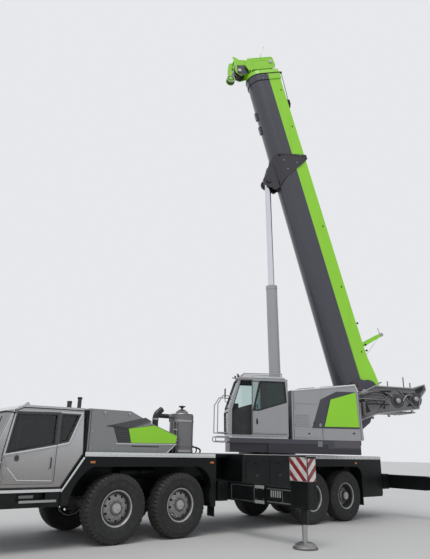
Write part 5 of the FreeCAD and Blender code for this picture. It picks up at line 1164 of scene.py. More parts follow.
for name, middle, low, facing in (("front", -2.960, 0.750, 1), ("rear", -9.690, 0.845, -1)):
    for side, word in SIDES:
        tag = name + "_" + word
        first, second, leg = "outrigger_beam_" + tag, "outrigger_tip_" + tag, "jack_" + tag
        bx = middle - side * 0.152
        out = bx + facing * BEAM_HALF
        top = low + 0.400

        def y(value):
            return side * value

        # First stage: rails along its face, light collar blocks, seam along the edge
        s = Shape()
        for z in (low + 0.020, low + 0.345):
            s.box((out - 0.001, out + facing * 0.004), (y(1.45), y(2.585)), (z, z + 0.022))
        s.box((out - 0.001, out + facing * 0.004), (y(1.45), y(1.475)), (low + 0.02, low + 0.36))
        s.box((out - 0.001, out + facing * 0.004), (y(2.25), y(2.272)), (low + 0.02, low + 0.36))
        s.done("beam_rails_" + tag, first, "steel", 0.002)
        s = Shape()
        for z in (low + 0.004, low + 0.318):
            s.box((out - 0.001, out + facing * 0.0045), (y(2.285), y(2.592)), (z, z + 0.066))
        s.done("beam_collar_" + tag, first, "pale", 0.002)
        s = Shape()
        for z in (low + 0.10, low + 0.30):
            s.bolt((out - 0.0005, y(2.33), z), (facing, 0, 0), 0.010, 0.004)
            s.bolt((out - 0.0005, y(2.55), z), (facing, 0, 0), 0.010, 0.004)
        s.done("beam_bolts_" + tag, first, "steel")
        # Second stage: rails and a pale ribbed panel, thin enough to slide into the first
        o2 = bx + facing * 0.110
        s = Shape()
        for z in (low + 0.052, low + 0.318):
            s.box((o2 - 0.001, o2 + facing * 0.005), (y(2.66), y(3.385)), (z, z + 0.024))
        s.box((o2 - 0.001, o2 + facing * 0.005), (y(3.135), y(3.150)), (low + 0.05, low + 0.34))
        s.done("tip_rails_" + tag, second, "steel", 0.0015)
        s = Shape()
        for k in range(5):
            a = 2.782 + 0.068 * k
            s.box((o2 - 0.001, o2 + facing * 0.0055), (y(a), y(a + 0.036)), (low + 0.165, low + 0.300))
        s.done("tip_panel_" + tag, second, "pale", 0.0015)
        s = Shape()
        s.box((o2 - 0.001, o2 + facing * 0.003), (y(2.765), y(3.115)), (low + 0.150, low + 0.312))
        s.done("tip_panel_base_" + tag, second, "plastic", 0.002)
        # Jack case: rims, gussets, cap plate and the striped plate
        s = Shape()
        face = bx + facing * 0.130
        for z0, z1 in ((0.762, 0.800), (1.738, 1.768)):
            s.box((bx - 0.137, bx + 0.137), (y(SPREAD - 0.257), y(SPREAD + 0.257)), (z0, z1))
        for a in (SPREAD - CASE_HALF + 0.020, SPREAD + CASE_HALF - 0.020):
            s.box((face - 0.001, face + facing * 0.006), (y(a - 0.018), y(a + 0.018)), (0.80, 1.27))
        for way in (-1, 1):
            for a in (3.45, 3.85):
                s.prism([(y(a - 0.008), 0.762), (y(a + 0.008), 0.762), (y(a + 0.008), 0.735), (y(a - 0.008), 0.735)],
                        bx + way * 0.02, bx + way * 0.12, "yz")
        s.done("jack_case_trim_" + tag, second, "beam", 0.003)
        s = Shape()
        plate_x = face + facing * 0.012
        s.box((plate_x - 0.001, plate_x + facing * 0.003), (y(SPREAD - 0.247), y(SPREAD + 0.247)), (1.286, 1.764))
        s.done("striped_plate_" + tag, second, "stripes_" + word, 0.001)
        s = Shape()
        s.box((bx - 0.118, bx + 0.118), (y(SPREAD + CASE_HALF - 0.001), y(SPREAD + CASE_HALF + 0.004)), (1.286, 1.764))
        s.done("striped_side_" + tag, second, "stripes_end_" + name)
        s = Shape()
        frame_plate(s, [(y(3.400), 1.280), (y(3.900), 1.280), (y(3.900), 1.770), (y(3.400), 1.770)],
                    [(y(3.410), 1.290), (y(3.890), 1.290), (y(3.890), 1.760), (y(3.410), 1.760)],
                    plate_x, plate_x + facing * 0.006, "yz")
        for a in (3.43, 3.87):
            for z in (1.31, 1.74):
                s.bolt((plate_x + facing * 0.002, y(a), z), (facing, 0, 0), 0.008, 0.006)
        s.done("plate_frame_" + tag, second, "steel", 0.001)
        s = Shape()
        e = SPREAD + CASE_HALF
        frame_plate(s, [(bx - 0.09, 0.86), (bx + 0.09, 0.86), (bx + 0.09, 1.24), (bx - 0.09, 1.24)],
                    [(bx - 0.07, 0.88), (bx + 0.07, 0.88), (bx + 0.07, 1.22), (bx - 0.07, 1.22)],
                    y(e - 0.001), y(e + 0.006))
        for z in (0.98, 1.12):
            s.bolt((bx, y(e), z), (0, side, 0), 0.014, 0.010)
        s.done("jack_case_door_" + tag, second, "beam", 0.002)
        # Guide tube's wiper rings and the pad's details
        s = Shape()
        s.lathe(((0.081, 0.452), (0.092, 0.455), (0.092, 0.492), (0.082, 0.500), (0.081, 0.452)), (bx, y(SPREAD), 0), (0, 0, 1), 32)
        s.lathe(((0.081, 0.72), (0.110, 0.735), (0.110, 0.757), (0.082, 0.760), (0.081, 0.72)), (bx, y(SPREAD), 0), (0, 0, 1), 32)
        s.done("jack_tube_rings_" + tag, second, "beam")
        s = Shape()
        for k in range(8):
            t = 2 * math.pi * (k + 0.5) / 8
            dx, dy = math.cos(t), math.sin(t)
            across = Vector((-dy, dx, 0)) * 0.006
            base = Vector((bx, y(SPREAD), 0))
            near, far = base + Vector((dx, dy, 0)) * 0.075, base + Vector((dx, dy, 0)) * 0.205
            quad = [near + Vector((0, 0, 0.120)), far + Vector((0, 0, 0.070)), far + Vector((0, 0, 0.040)),
                    near + Vector((0, 0, 0.040))]
            one = [s.bm.verts.new(p + across) for p in quad]
            two = [s.bm.verts.new(p - across) for p in quad]
            made = [s.bm.faces.new(one), s.bm.faces.new(two[::-1])]
            for i in range(4):
                j = (i + 1) % 4
                made.append(s.bm.faces.new((one[j], one[i], two[i], two[j])))
            bmesh.ops.recalc_face_normals(s.bm, faces=made)
        s.lathe(((0.251, 0.004), (0.256, 0.008), (0.256, 0.028), (0.250, 0.034)), (bx, y(SPREAD), 0), (0, 0, 1), 48)
        s.done("pad_ribs_" + tag, leg, "cast")

# Front and rear boxes: rims at their mouths, hoses and small fittings
for name, middle, low in (("front", -2.960, 0.750), ("rear", -9.690, 0.845)):
    s = Shape()
    for side, word in SIDES:
        bx = middle - side * 0.152
        x0, x1 = bx - 0.150, bx + 0.150
        z0, z1 = low - 0.020, low + 0.420
        frame_plate(s, [(x0 - 0.018, z0 - 0.018), (x1 + 0.018, z0 - 0.018), (x1 + 0.018, z1 + 0.018),
                        (x0 - 0.018, z1 + 0.018)], [(x0 + 0.010, z0 + 0.010), (x1 - 0.010, z0 + 0.010),
                    (x1 - 0.010, z1 - 0.010), (x0 + 0.010, z1 - 0.010)], side * 0.850, side * 0.866)
    s.done("box_rims_" + name, "carrier", "beam", 0.003)

s = Shape()
for side in (LEFT, RIGHT):
    s.box((-2.676, -2.662), (side * 0.05, side * 0.82), (1.20, 1.24))
    s.pipe([(-2.668, side * 0.30, 1.22), (-2.60, side * 0.34, 1.40), (-2.62, side * 0.42, 1.66),
            (-2.66, side * 0.44, 1.72)], 0.014, 0.1, 8)
s.done("front_box_lines", "carrier", "hose")


# Superstructure

for side, word in SIDES:
    # Plinth under the housing: a dark strip with lighter boxes in it
    s = Shape(SUPER)
    s.box((-2.385, 0.30), (side * 0.90, side * 1.325), (1.822, 2.08))
    if side == LEFT:
        s.box((0.28, 1.36), (0.58, 1.28), (1.835, 2.08))
    s.done("plinth_%s" % word, "superstructure", "saddle", 0.008)
    s = Shape(SUPER)
    for u0, u1, z0, z1 in ((-1.12, -1.26, 2.010, 2.175), (-1.60, -2.36, 2.000, 2.180)):
        s.box((u0, u1), (side * 1.322, side * 1.338), (z0, z1))
    s.done("plinth_box_%s" % word, "superstructure", "dim", 0.006)
    s = Shape(SUPER)
    for k in range(5):
        s.box((-1.125 - 0.027 * k, -1.137 - 0.027 * k), (side * 1.336, side * 1.342), (2.02, 2.165))
    s.done("plinth_ribs_%s" % word, "superstructure", "pale", 0.002)

# Housing: joints, hinges, latches, and bright tubes along the top edges, a painted highlight
s = Shape(SUPER)
v0, v1 = 1.3295, 1.3355
s.box((-0.452, -0.444), (v0, v1), (2.215, 3.525))
s.box((-1.288, -1.278), (v0, v1), (2.215, 2.512))
s.box((-2.405, -2.413), (v0, v1), (2.24, 3.60))
s.done("housing_joints", "superstructure", "rubber")
s = Shape(SUPER)
s.tube([(-0.405, 1.322, 3.520), (-2.305, 1.322, 3.747), (-2.394, 1.322, 3.556)], 0.026, 12)
s.tube([(-0.405, 0.566, 3.531), (-2.305, 0.566, 3.758), (-2.398, 0.566, 3.560)], 0.014, 10)
s.tube([(-0.402, 1.326, 3.531), (-0.402, 0.566, 3.531)], 0.012, 10)
s.done("housing_top_highlight", "superstructure", "trim")
s = Shape(SUPER)
for u, z in ((-0.50, 2.60), (-0.50, 3.08), (-1.22, 2.60)):
    s.cyl((u, 1.338, z - 0.045), (u, 1.338, z + 0.045), 0.011)
    s.box((u - 0.030, u + 0.030), (1.329, 1.335), (z - 0.04, z + 0.04))
s.done("housing_hinges", "superstructure", "grey", 0.002)
s = Shape(SUPER)
for u, z in ((-0.88, 2.36), (-1.05, 2.66), (-2.20, 2.40)):
    s.prism(oval(u, z, 0.034, 0.022), 1.330, 1.341)
s.done("housing_latches", "superstructure", "plastic", 0.002)
s = Shape(SUPER)
for u in (-0.52, -0.85, -1.2, -1.6, -2.0, -2.3):
    s.bolt((u, 1.3295, 2.235), (0, 1, 0), 0.009, 0.006)
    s.bolt((u, -1.3295, 2.235), (0, -1, 0), 0.009, 0.006)
s.done("housing_bolts", "superstructure", "steel")
s = Shape(SUPER)
frame_plate(s, moved_in(HOUSE_GREEN, -0.007), moved_in(HOUSE_GREEN, 0.001), 1.330, 1.336)
s.done("housing_green_joint", "superstructure", "rubber")
s = Shape(SUPER)
for u0, u1, z0 in ((-0.62, -1.12, 3.58), (-1.30, -1.90, 3.655)):
    for k in range(8):
        v = 0.64 + 0.08 * k
        rise = 0.119
        s.prism([(u0, z0 - 0.006), (u1, z0 - 0.006 + (u0 - u1) * rise), (u1, z0 + 0.014 + (u0 - u1) * rise),
                 (u0, z0 + 0.014)], v, v + 0.045)
s.done("housing_top_grille", "superstructure", "charcoal", 0.003)
# Rear of the left housing: door with louvres
s = Shape(SUPER)
for k in range(9):
    z = 2.45 + 0.09 * k
    s.box((-2.478 + 0.0065 * k * 1.0, -2.440), (0.70, 1.20), (z, z + 0.045))
s.done("housing_rear_louvres", "superstructure", "charcoal", 0.003)
# Right housing: joints and a tank's filler
s = Shape(SUPER)
w0, w1 = -1.3295, -1.3355
s.box((-0.262, -0.254), (w0, w1), (2.215, 3.02))
s.box((-1.288, -1.280), (w0, w1), (2.215, 3.45))
s.box((-0.254, -2.380), (w0, w1), (2.495, 2.503))
s.box((-1.288, -2.380), (w0, w1), (3.40, 3.408))
s.done("right_housing_joints", "superstructure", "rubber")
# Bright tubes along the right housing's top edges: painted highlight
s = Shape(SUPER)
s.tube([(-0.155, -1.326, 3.052), (-0.602, -1.326, 3.420), (-2.308, -1.326, 3.560), (-2.398, -1.326, 3.462)], 0.014, 10)
s.tube([(-0.155, -0.566, 3.052), (-0.602, -0.566, 3.420), (-2.308, -0.566, 3.560), (-2.398, -0.566, 3.462)], 0.014, 10)
s.done("right_housing_top_highlight", "superstructure", "trim")
s = Shape(SUPER)
s.lathe(((0.070, 3.46), (0.070, 3.50), (0.080, 3.505), (0.080, 3.545), (0.066, 3.555), (0.0, 3.557)),
        (-0.95, -0.95, 0), (0, 0, 1), 28)
s.lathe(((0.062, 3.50), (0.062, 3.62), (0.095, 3.64), (0.095, 3.70), (0.060, 3.72), (0.0, 3.722)),
        (-1.75, -0.80, 0), (0, 0, 1), 28)
s.done("right_housing_caps", "superstructure", "plastic")
s = Shape(SUPER)
for k in range(11):
    v = -0.66 - 0.055 * k
    s.prism([(-0.22, 3.108), (-0.55, 3.379), (-0.535, 3.397), (-0.205, 3.126)], v, v - 0.028)
s.done("right_housing_grille", "superstructure", "charcoal", 0.002)

# Operator's cab
OPCAB_SIDE = 1.290
DOOR_FACE = 1.336
FRONT_PANE = [(0.62, 2.990), (0.500, 3.735), (1.030, 3.740), (1.255, 2.990)]
s = Shape(SUPER)
s.tube([(-0.225, 1.292, 3.832), (1.040, 1.292, 3.824)], 0.010, 8)
s.done("cab_roof_joint", "superstructure", "rubber")
# Light tube along the front pillar's outer edge: painted highlight
s = Shape(SUPER)
s.tube([(1.055, 1.266, 3.850), (1.092, 1.266, 3.846), (1.398, 1.266, 2.955), (1.377, 1.266, 2.215)], 0.018, 10)
s.done("cab_front_pillar_highlight", "superstructure", "light")
s = Shape(SUPER)
s.prism([(-0.236, 3.845), (-0.232, 3.882), (1.076, 3.870), (1.115, 3.835)], 0.555, 1.298)
s.prism([(-0.20, 3.880), (-0.18, 3.905), (0.98, 3.893), (1.02, 3.868)], 0.62, 1.23)
s.done("cab_roof_cap", "superstructure", "light", 0.014, segments=3)
s = Shape(SUPER)
s.box((0.15, 0.62), (0.70, 1.15), (3.895, 3.925))
s.done("cab_roof_hatch", "superstructure", "teal_glass", 0.012)
s = Shape(SUPER)
s.box((-0.29, 1.375), (1.286, 1.300), (2.204, 2.258))
s.done("cab_sill", "superstructure", "trim", 0.006)
s = Shape(SUPER)
s.tube([(1.404, 0.60, 2.89), (1.404, 1.25, 2.89)], 0.012, 8)
s.tube([(1.392, 0.60, 2.32), (1.392, 1.25, 2.32)], 0.012, 8)
s.tube([(1.408, 0.605, 2.90), (1.395, 0.605, 2.33)], 0.012, 8)
s.tube([(1.408, 1.245, 2.90), (1.395, 1.245, 2.33)], 0.012, 8)
s.tube([(1.388, 0.605, 3.00), (1.122, 0.605, 3.79)], 0.012, 8)
s.tube([(1.388, 1.245, 3.00), (1.122, 1.245, 3.79)], 0.012, 8)
s.tube([(1.388, 0.605, 3.00), (1.388, 1.245, 3.00)], 0.012, 8)
s.tube([(1.122, 0.605, 3.79), (1.122, 1.245, 3.79)], 0.012, 8)
s.done("cab_screen_seals", "superstructure", "rubber")
s = Shape(SUPER)
s.pipe([(1.405, 0.86, 2.96), (1.445, 0.90, 2.98), (1.302, 1.10, 3.40)], 0.010, 0.03, 8)
s.tube([(1.405, 1.06, 3.10), (1.205, 1.14, 3.68)], 0.010, 6)
s.done("cab_wiper", "superstructure", "plastic")
# Inside: dark lower panel at the doorway, headliner, console and the frame post
s = Shape(SUPER)
s.prism([(0.60, 2.262), (1.316, 2.262), (1.330, 2.93), (1.20, 2.985), (0.60, 3.165)], 1.150, 1.228)
s.prism([(1.06, 2.262), (1.322, 2.262), (1.330, 2.86), (1.20, 2.93), (1.08, 2.86)], 0.64, 1.151)
s.box((-0.225, 0.98), (0.625, 1.225), (3.70, 3.795))
s.box((-0.225, -0.18), (0.625, 1.225), (2.262, 3.12))
s.box((-0.20, 1.30), (0.625, 1.225), (2.256, 2.275))
s.done("cab_lining", "superstructure", "seat", 0.012)
s = Shape(SUPER)
s.box((1.08, 1.26), (0.80, 1.08), (2.96, 3.14))
s.tube([(1.12, 0.94, 2.95), (1.12, 0.94, 3.02)], 0.02, 10)
s.done("cab_display", "superstructure", "plastic", 0.010)
# Left wall in front of the door: dark belt between the lower and the upper pane
s = Shape(SUPER)
frame_plate(s, [(0.276, 2.286), (0.276, 3.774), (1.060, 3.774), (1.304, 2.966), (1.304, 2.286)],
            [(0.296, 2.306), (0.296, 3.754), (1.045, 3.754), (1.284, 2.962), (1.284, 2.306)], 1.2895, 1.2945)
s.done("doorway_seal", "superstructure", "rubber", 0.001)
# Door's front part: a pale glossy plate painted like the pane beside it, a painted reflection of the bright sky in
# glass, with a dark post at the window
s = Shape(SUPER)
s.prism([(0.746, 2.945), (0.715, 2.955), (0.495, 3.738), (0.746, 3.738)], 1.335, 1.340)
s.done("sliding_front_painted_pane", "operator_door", "painted_pane_reflection", 0.001)
s = Shape(SUPER)
s.prism([(0.735, 2.932), (0.690, 2.946), (0.470, 3.750), (0.545, 3.750)], 1.339, 1.345)
s.prism([(0.746, 3.735), (0.46, 3.735), (0.46, 3.755), (0.746, 3.755)], 1.339, 1.343)
s.prism([(0.746, 2.925), (0.68, 2.942), (0.68, 2.962), (0.746, 2.948)], 1.339, 1.343)
s.done("sliding_front_post", "operator_door", "rubber", 0.002)
# Door: seals, relief, handle, edge line
DOOR_PANE = [(-0.230, 3.200), (-0.190, 3.740), (0.480, 3.740), (0.700, 2.960), (0.560, 2.960)]
s = Shape(SUPER)
frame_plate(s, moved_in(DOOR_PANE, -0.026), moved_in(DOOR_PANE, 0.012), DOOR_FACE - 0.001, DOOR_FACE + 0.004)
s.done("sliding_window_seal", "operator_door", "rubber", 0.001)
s = Shape(SUPER)
s.prism([(0.700, 2.350), (0.690, 2.895), (0.540, 2.900), (-0.240, 3.125), (-0.240, 2.350)], DOOR_FACE - 0.001,
        DOOR_FACE + 0.007)
s.done("sliding_door_relief", "operator_door", "grey", 0.007, segments=3)
s = Shape(SUPER)
s.tube([(-0.262, DOOR_FACE + 0.001, 2.318), (0.728, DOOR_FACE + 0.001, 2.318)], 0.006, 6)
s.tube([(0.736, DOOR_FACE + 0.001, 2.310), (0.736, DOOR_FACE + 0.001, 3.785)], 0.008, 6)
s.done("sliding_door_lines", "operator_door", "rubber")
s = Shape(SUPER)
s.prism(oval(0.602, 2.654, 0.034, 0.088), DOOR_FACE + 0.005, DOOR_FACE + 0.012)
s.pipe([(0.602, DOOR_FACE + 0.010, 2.715), (0.602, DOOR_FACE + 0.030, 2.705), (0.602, DOOR_FACE + 0.030, 2.600),
        (0.602, DOOR_FACE + 0.010, 2.590)], 0.010, 0.02, 8)
s.done("sliding_door_handle", "operator_door", "gloss_black")
s = Shape(SUPER)
s.tube([(0.560, DOOR_FACE + 0.010, 2.555), (0.560, DOOR_FACE + 0.010, 2.750)], 0.007, 8)
s.done("sliding_door_bar", "operator_door", "trim")
# Mirror and lamps on the cab's front corner
s = Shape(SUPER)
s.pipe([(1.375, 1.26, 3.12), (1.50, 1.262, 3.16), (1.50, 1.262, 3.30)], 0.010, 0.04, 8)
s.box((1.488, 1.512), (1.19, 1.305), (3.28, 3.52))
s.done("cab_mirror", "superstructure", "plastic", 0.010)
s = Shape(SUPER)
for v in (0.72, 1.14):
    s.lathe(((0.0, -0.055), (0.030, -0.05), (0.052, -0.01), (0.052, 0.0)), (1.135, v, 3.915), (1, 0, -0.2), 24)
    s.box((1.075, 1.105), (v - 0.02, v + 0.02), (3.862, 3.90))
s.done("cab_work_lamps", "superstructure", "plastic")
s = Shape(SUPER)
for v in (0.72, 1.14):
    s.lathe(((0.048, 0.0), (0.048, 0.004), (0.030, 0.010), (0.0, 0.012)), (1.133, v, 3.915), (1, 0, -0.2), 24)
s.done("cab_work_lenses", "superstructure", "clear")
# Grab rails and steps at the front
s = Shape(SUPER)
for v in (0.66, 1.22):
    s.pipe([(1.39, v, 2.24), (1.74, v, 2.24), (1.74, v, 2.10), (1.42, v, 2.09)], 0.012, 0.04, 8)
s.box((1.42, 1.74), (0.66, 1.22), (2.098, 2.116))
for k in range(7):
    s.box((1.45 + 0.04 * k, 1.462 + 0.04 * k), (0.665, 1.215), (2.114, 2.124))
s.done("cab_foot_step", "superstructure", "steel", 0.002)
# Hoses and pipes under the cab and by the boom's foot
s = Shape(SUPER)
s.pipe([(0.95, 0.95, 2.07), (0.95, 0.95, 1.98), (1.18, 1.00, 1.96), (1.25, 1.00, 2.07)], 0.020, 0.06, 10)
s.pipe([(0.55, 0.98, 2.07), (0.60, 1.02, 1.99), (0.82, 1.05, 1.98), (0.88, 1.05, 2.07)], 0.016, 0.06, 10)
s.pipe([(-0.30, 0.52, 2.22), (-0.35, 0.53, 2.75), (-0.90, 0.535, 2.95), (-1.90, 0.535, 3.20), (-2.45, 0.535, 3.40)],
       0.018, 0.12, 10)
s.pipe([(-0.30, -0.52, 2.22), (-0.35, -0.53, 2.75), (-0.90, -0.535, 2.95), (-1.90, -0.535, 3.20),
        (-2.45, -0.535, 3.40)], 0.018, 0.12, 10)
s.done("super_hoses", "superstructure", "hose")


# Winches behind the boom's foot

for side, word in SIDES:
    f0, f1 = side * 0.5405, side * 0.5455

    def v(value):
        return side * value

    s = Shape(SUPER)
    for hole in (
        [(-3.42, 3.22), (-3.60, 3.42), (-3.60, 3.17)],
        [(-2.70, 2.95), (-2.66, 3.36), (-2.92, 3.46), (-3.12, 3.08)],
        [(-3.44, 3.72), (-3.86, 3.74), (-3.62, 3.50)],
        [(-4.08, 3.70), (-4.44, 3.66), (-4.42, 3.40)],
        [(-4.30, 3.26), (-4.60, 3.30), (-4.62, 3.60)],
        [(-4.72, 3.62), (-4.92, 3.80), (-4.90, 3.90), (-4.62, 3.78)],
    ):
        s.prism(hole, f0, f1)
    s.done("winch_gaps_" + word, "superstructure", "rubber", 0.001)
    s = Shape(SUPER)
    s.prism([(-2.70, 3.575), (-3.30, 3.872), (-4.54, 3.842), (-4.955, 3.968), (-4.955, 3.935), (-4.54, 3.805),
             (-3.305, 3.835), (-2.72, 3.545)], v(0.535), v(0.585))
    s.prism([(-2.50, 2.72), (-3.30, 3.03), (-4.70, 3.22), (-4.70, 3.195), (-3.30, 3.000), (-2.50, 2.690)],
            v(0.535), v(0.585))
    s.prism([(-4.965, 3.955), (-4.995, 3.78), (-4.765, 3.50), (-4.705, 3.20), (-4.680, 3.21), (-4.740, 3.51),
             (-4.965, 3.79), (-4.935, 3.94)], v(0.535), v(0.580))
    s.done("winch_flanges_" + word, "superstructure", "grey", 0.004)
    s = Shape(SUPER)
    for u, z, r in ((-4.02, 3.43, 0.150), (-4.62, 3.50, 0.150)):
        s.lathe(((r + 0.055, 0.0), (r + 0.055, 0.014), (r + 0.03, 0.018), (r - 0.02, 0.018), (r - 0.035, 0.05),
                 (0.0, 0.055)), (u, v(0.541), z), (0, side, 0), 40)
        for k in range(10):
            t = 2 * math.pi * k / 10
            s.bolt((u + (r + 0.035) * math.cos(t), v(0.556), z + (r + 0.035) * math.sin(t)), (0, side, 0), 0.012, 0.010)
    s.done("winch_motor_plates_" + word, "superstructure", "dark_steel")
    s = Shape(SUPER)
    for u, z, r in ((-4.02, 3.43, 0.070), (-4.62, 3.50, 0.070)):
        s.lathe(((r, 0.05), (r, 0.075), (r - 0.02, 0.085), (0.0, 0.088)), (u, v(0.541), z), (0, side, 0), 28)
    for u, z in ((-3.691, 2.984), (-4.462, 3.121)):
        s.lathe(((0.0, -0.05), (0.034, -0.045), (0.045, -0.01), (0.040, 0.03), (0.0, 0.04)), (u, v(0.56), z),
                (0, 0, 1), 20)
    s.done("winch_caps_" + word, "superstructure", "steel")
    # Pipes and cables in front of the plates
    s = Shape(SUPER)
    for z, u1 in ((3.455, -3.30), (3.620, -3.55), (3.655, -3.75)):
        s.pipe([(-2.56, v(0.575), z), (-3.05, v(0.575), z + 0.01), (u1, v(0.575), z - 0.005), (u1 - 0.10, v(0.575), z - 0.12)],
               0.012, 0.06, 8)
    s.pipe([(-4.18, v(0.590), 3.43), (-4.30, v(0.60), 3.60), (-4.42, v(0.60), 3.62), (-4.50, v(0.585), 3.58)],
           0.014, 0.06, 8)
    s.done("winch_pipes_" + word, "superstructure", "steel")
    s = Shape(SUPER)
    s.pipe([(-2.62, v(0.60), 2.86), (-2.70, v(0.615), 3.10), (-2.86, v(0.61), 3.30), (-3.30, v(0.60), 3.32),
            (-3.72, v(0.60), 3.30)], 0.020, 0.12, 10)
    s.pipe([(-2.60, v(0.60), 3.00), (-2.74, v(0.60), 3.22), (-3.10, v(0.59), 3.42), (-3.60, v(0.59), 3.40)],
           0.015, 0.12, 10)
    s.pipe([(-3.80, v(0.60), 3.50), (-3.60, v(0.61), 3.66), (-3.20, v(0.60), 3.66), (-2.80, v(0.60), 3.50)],
           0.015, 0.12, 10)
    s.done("winch_hoses_" + word, "superstructure", "hose")
    # Ribbed valve blocks near the housing's rear
    s = Shape(SUPER)
    for k, u in enumerate((-2.60, -2.74, -2.88)):
        top = 3.30 + 0.02 * k
        s.lathe(((0.050, 2.86 + 0.05 * k), (0.055, 2.87 + 0.05 * k), (0.055, top), (0.044, top + 0.012),
                 (0.0, top + 0.015)), (u, v(0.605), 0), (0, 0, 1), 24)
        for i in range(6):
            z = 2.92 + 0.05 * k + 0.055 * i
            s.lathe(((0.054, z), (0.062, z + 0.004), (0.062, z + 0.020), (0.054, z + 0.024)), (u, v(0.605), 0),
                    (0, 0, 1), 24)
    s.done("winch_filters_" + word, "superstructure", "winch")

# Rope on the drums
s = Shape(SUPER)
for u, z in ((-4.02, 3.43), (-4.62, 3.50)):
    profile = [(0.20, -0.392)]
    for k in range(28):
        v0 = -0.392 + 0.028 * k
        profile += [(0.214, v0), (0.226, v0 + 0.007), (0.226, v0 + 0.019), (0.214, v0 + 0.0275)]
    profile.append((0.20, 0.392))
    s.lathe(profile, (u, 0, z), (0, 1, 0), 40)
s.done("winch_rope", "superstructure", "steel")
s = Shape(SUPER)
s.box((-4.58, -3.50), (-0.47, 0.47), (3.111, 3.118))
for k in range(9):
    s.box((-3.55 - 0.12 * k, -3.58 - 0.12 * k), (-0.47, 0.47), (3.117, 3.124))
s.pipe([(-3.36, 0.30, 3.90), (-3.67, 0.30, 4.01), (-3.67, -0.30, 4.01), (-3.36, -0.30, 3.90)], 0.016, 0.05, 10)
s.tube([(-3.36, 0.30, 3.90), (-3.36, 0.52, 3.86)], 0.014, 8)
s.tube([(-3.36, -0.30, 3.90), (-3.36, -0.52, 3.86)], 0.014, 8)
s.done("winch_floor_and_bar", "superstructure", "dark_steel", 0.002)
s = Shape(SUPER)
for v_pin in (0.525, -0.525):
    s.lathe(((0.080, 0.0), (0.098, 0.002), (0.098, 0.014), (0.070, 0.018), (0.045, 0.018), (0.0, 0.012)),
            (-2.98, v_pin, 3.65), (0, 1 if v_pin > 0 else -1, 0), 32)
s.done("foot_pin_caps", "superstructure", "steel")
s = Shape(SUPER)
s.box((-2.50, -2.82), (0.545, 0.66), (3.70, 3.78))
s.pipe([(-2.56, 0.60, 3.77), (-2.58, 0.60, 3.93), (-2.72, 0.60, 3.93), (-2.76, 0.60, 3.77)], 0.022, 0.05, 10)
s.lathe(((0.0, -0.05), (0.045, -0.04), (0.055, 0.0), (0.045, 0.05), (0.0, 0.06)), (-2.64, 0.62, 3.86), (0, 1, 0), 20)
s.done("rear_hook_block", "superstructure", "dusky", 0.006)


# Boom

def bolts_ring(shape, spots, axis, r=0.013, height=0.008):
    for spot in spots:
        shape.bolt(spot, axis, r, height)


# Green back curving out over the foot, rib lines, bolts, brackets and cables
for side, word in SIDES:
    s = Shape(BOOM)
    s.prism([(0.02, 0.05), (2.10, 0.05), (2.10, 0.465), (1.30, 0.470), (1.00, 0.486), (0.50, 0.566), (0.20, 0.585),
             (0.02, 0.575)], side * 0.4195, side * 0.429)
    s.done("foot_flare_" + word, "boom_base", "green", 0.004)
s = Shape(BOOM)
FLARE = ((2.10, 0.459), (1.30, 0.463), (1.00, 0.479), (0.50, 0.559), (0.20, 0.578), (0.02, 0.568))
for (s0, t0), (s1, t1) in zip(FLARE, FLARE[1:]):
    s.prism([(s0, t0), (s1, t1), (s1, t1 + 0.007), (s0, t0 + 0.007)], -0.4195, 0.4195)
s.done("foot_flare_back", "boom_base", "green", 0.0)
for side, word in SIDES:
    s = Shape(BOOM)
    s.box((0.50, 11.72), (side * 0.4195, side * 0.4215), (-0.004, 0.004))
    s.box((0.50, 7.20), (side * 0.4195, side * 0.4225), (-0.262, -0.254))
    s.box((8.45, 11.72), (side * 0.4195, side * 0.4225), (-0.262, -0.254))
    s.done("boom_seams_" + word, "boom_base", "charcoal", 0.001)
    s = Shape(BOOM)
    bolts_ring(s, [(x, side * 0.448, t) for x in (11.80, 11.94) for t in (-0.20, 0.0, 0.20, 0.40)], (0, side, 0))
    bolts_ring(s, [(x, side * 0.450, t) for x, t in ((7.95, -0.30), (8.15, 0.10), (8.30, -0.35), (8.40, 0.30))],
               (0, side, 0), 0.016)
    s.done("collar_bolts_" + word, "boom_base", "steel")
    s = Shape(BOOM)
    for x0 in (1.2, 3.4, 5.6, 9.6, 11.2):
        s.box((x0, x0 + 0.06), (side * 0.4195, side * 0.434), (0.330, 0.360))
    s.done("boom_clips_" + word, "boom_base", "black", 0.003)
s = Shape(BOOM)
s.pipe([(1.0, -0.432, 0.345), (6.9, -0.432, 0.345), (6.95, -0.432, 0.345)], 0.012, 0.05, 8)
s.pipe([(9.1, -0.432, 0.345), (11.4, -0.432, 0.345)], 0.012, 0.05, 8)
s.done("boom_cables", "boom_base", "hose")
# Rod and bracket by the back's left edge, small knobs further down
s = Shape(BOOM)
s.tube([(12.06, 0.37, 0.588), (11.95, 0.37, 0.575), (10.72, 0.37, 0.520)], 0.012, 8)
s.prism([(10.42, 0.455), (10.44, 0.500), (10.60, 0.560), (10.78, 0.560), (10.80, 0.455)], 0.33, 0.415)
s.box((12.00, 12.06), (0.34, 0.40), (0.45, 0.60))
for x0, t0 in ((2.153, 0.500), (1.423, 0.55), (1.24, 0.53)):
    s.lathe(((0.0, -0.035), (0.022, -0.03), (0.028, 0.0), (0.022, 0.03), (0.0, 0.035)), (x0, 0.39, t0 + 0.02), (1, 0, 0), 16)
    s.box((x0 - 0.012, x0 + 0.012), (0.375, 0.405), (0.455, t0 + 0.02))
s.done("back_rod_and_knobs", "boom_base", "black", 0.003)
# Green collar with a dark rim round the mouth
def ring_outline(half, back, x):
    low = [(x, half * math.cos(a), -0.28 - half * math.sin(a)) for a in (math.pi * k / 20 for k in range(21))]
    return [Vector(p) for p in [(x, half, back), *low, (x, -half, back)]]


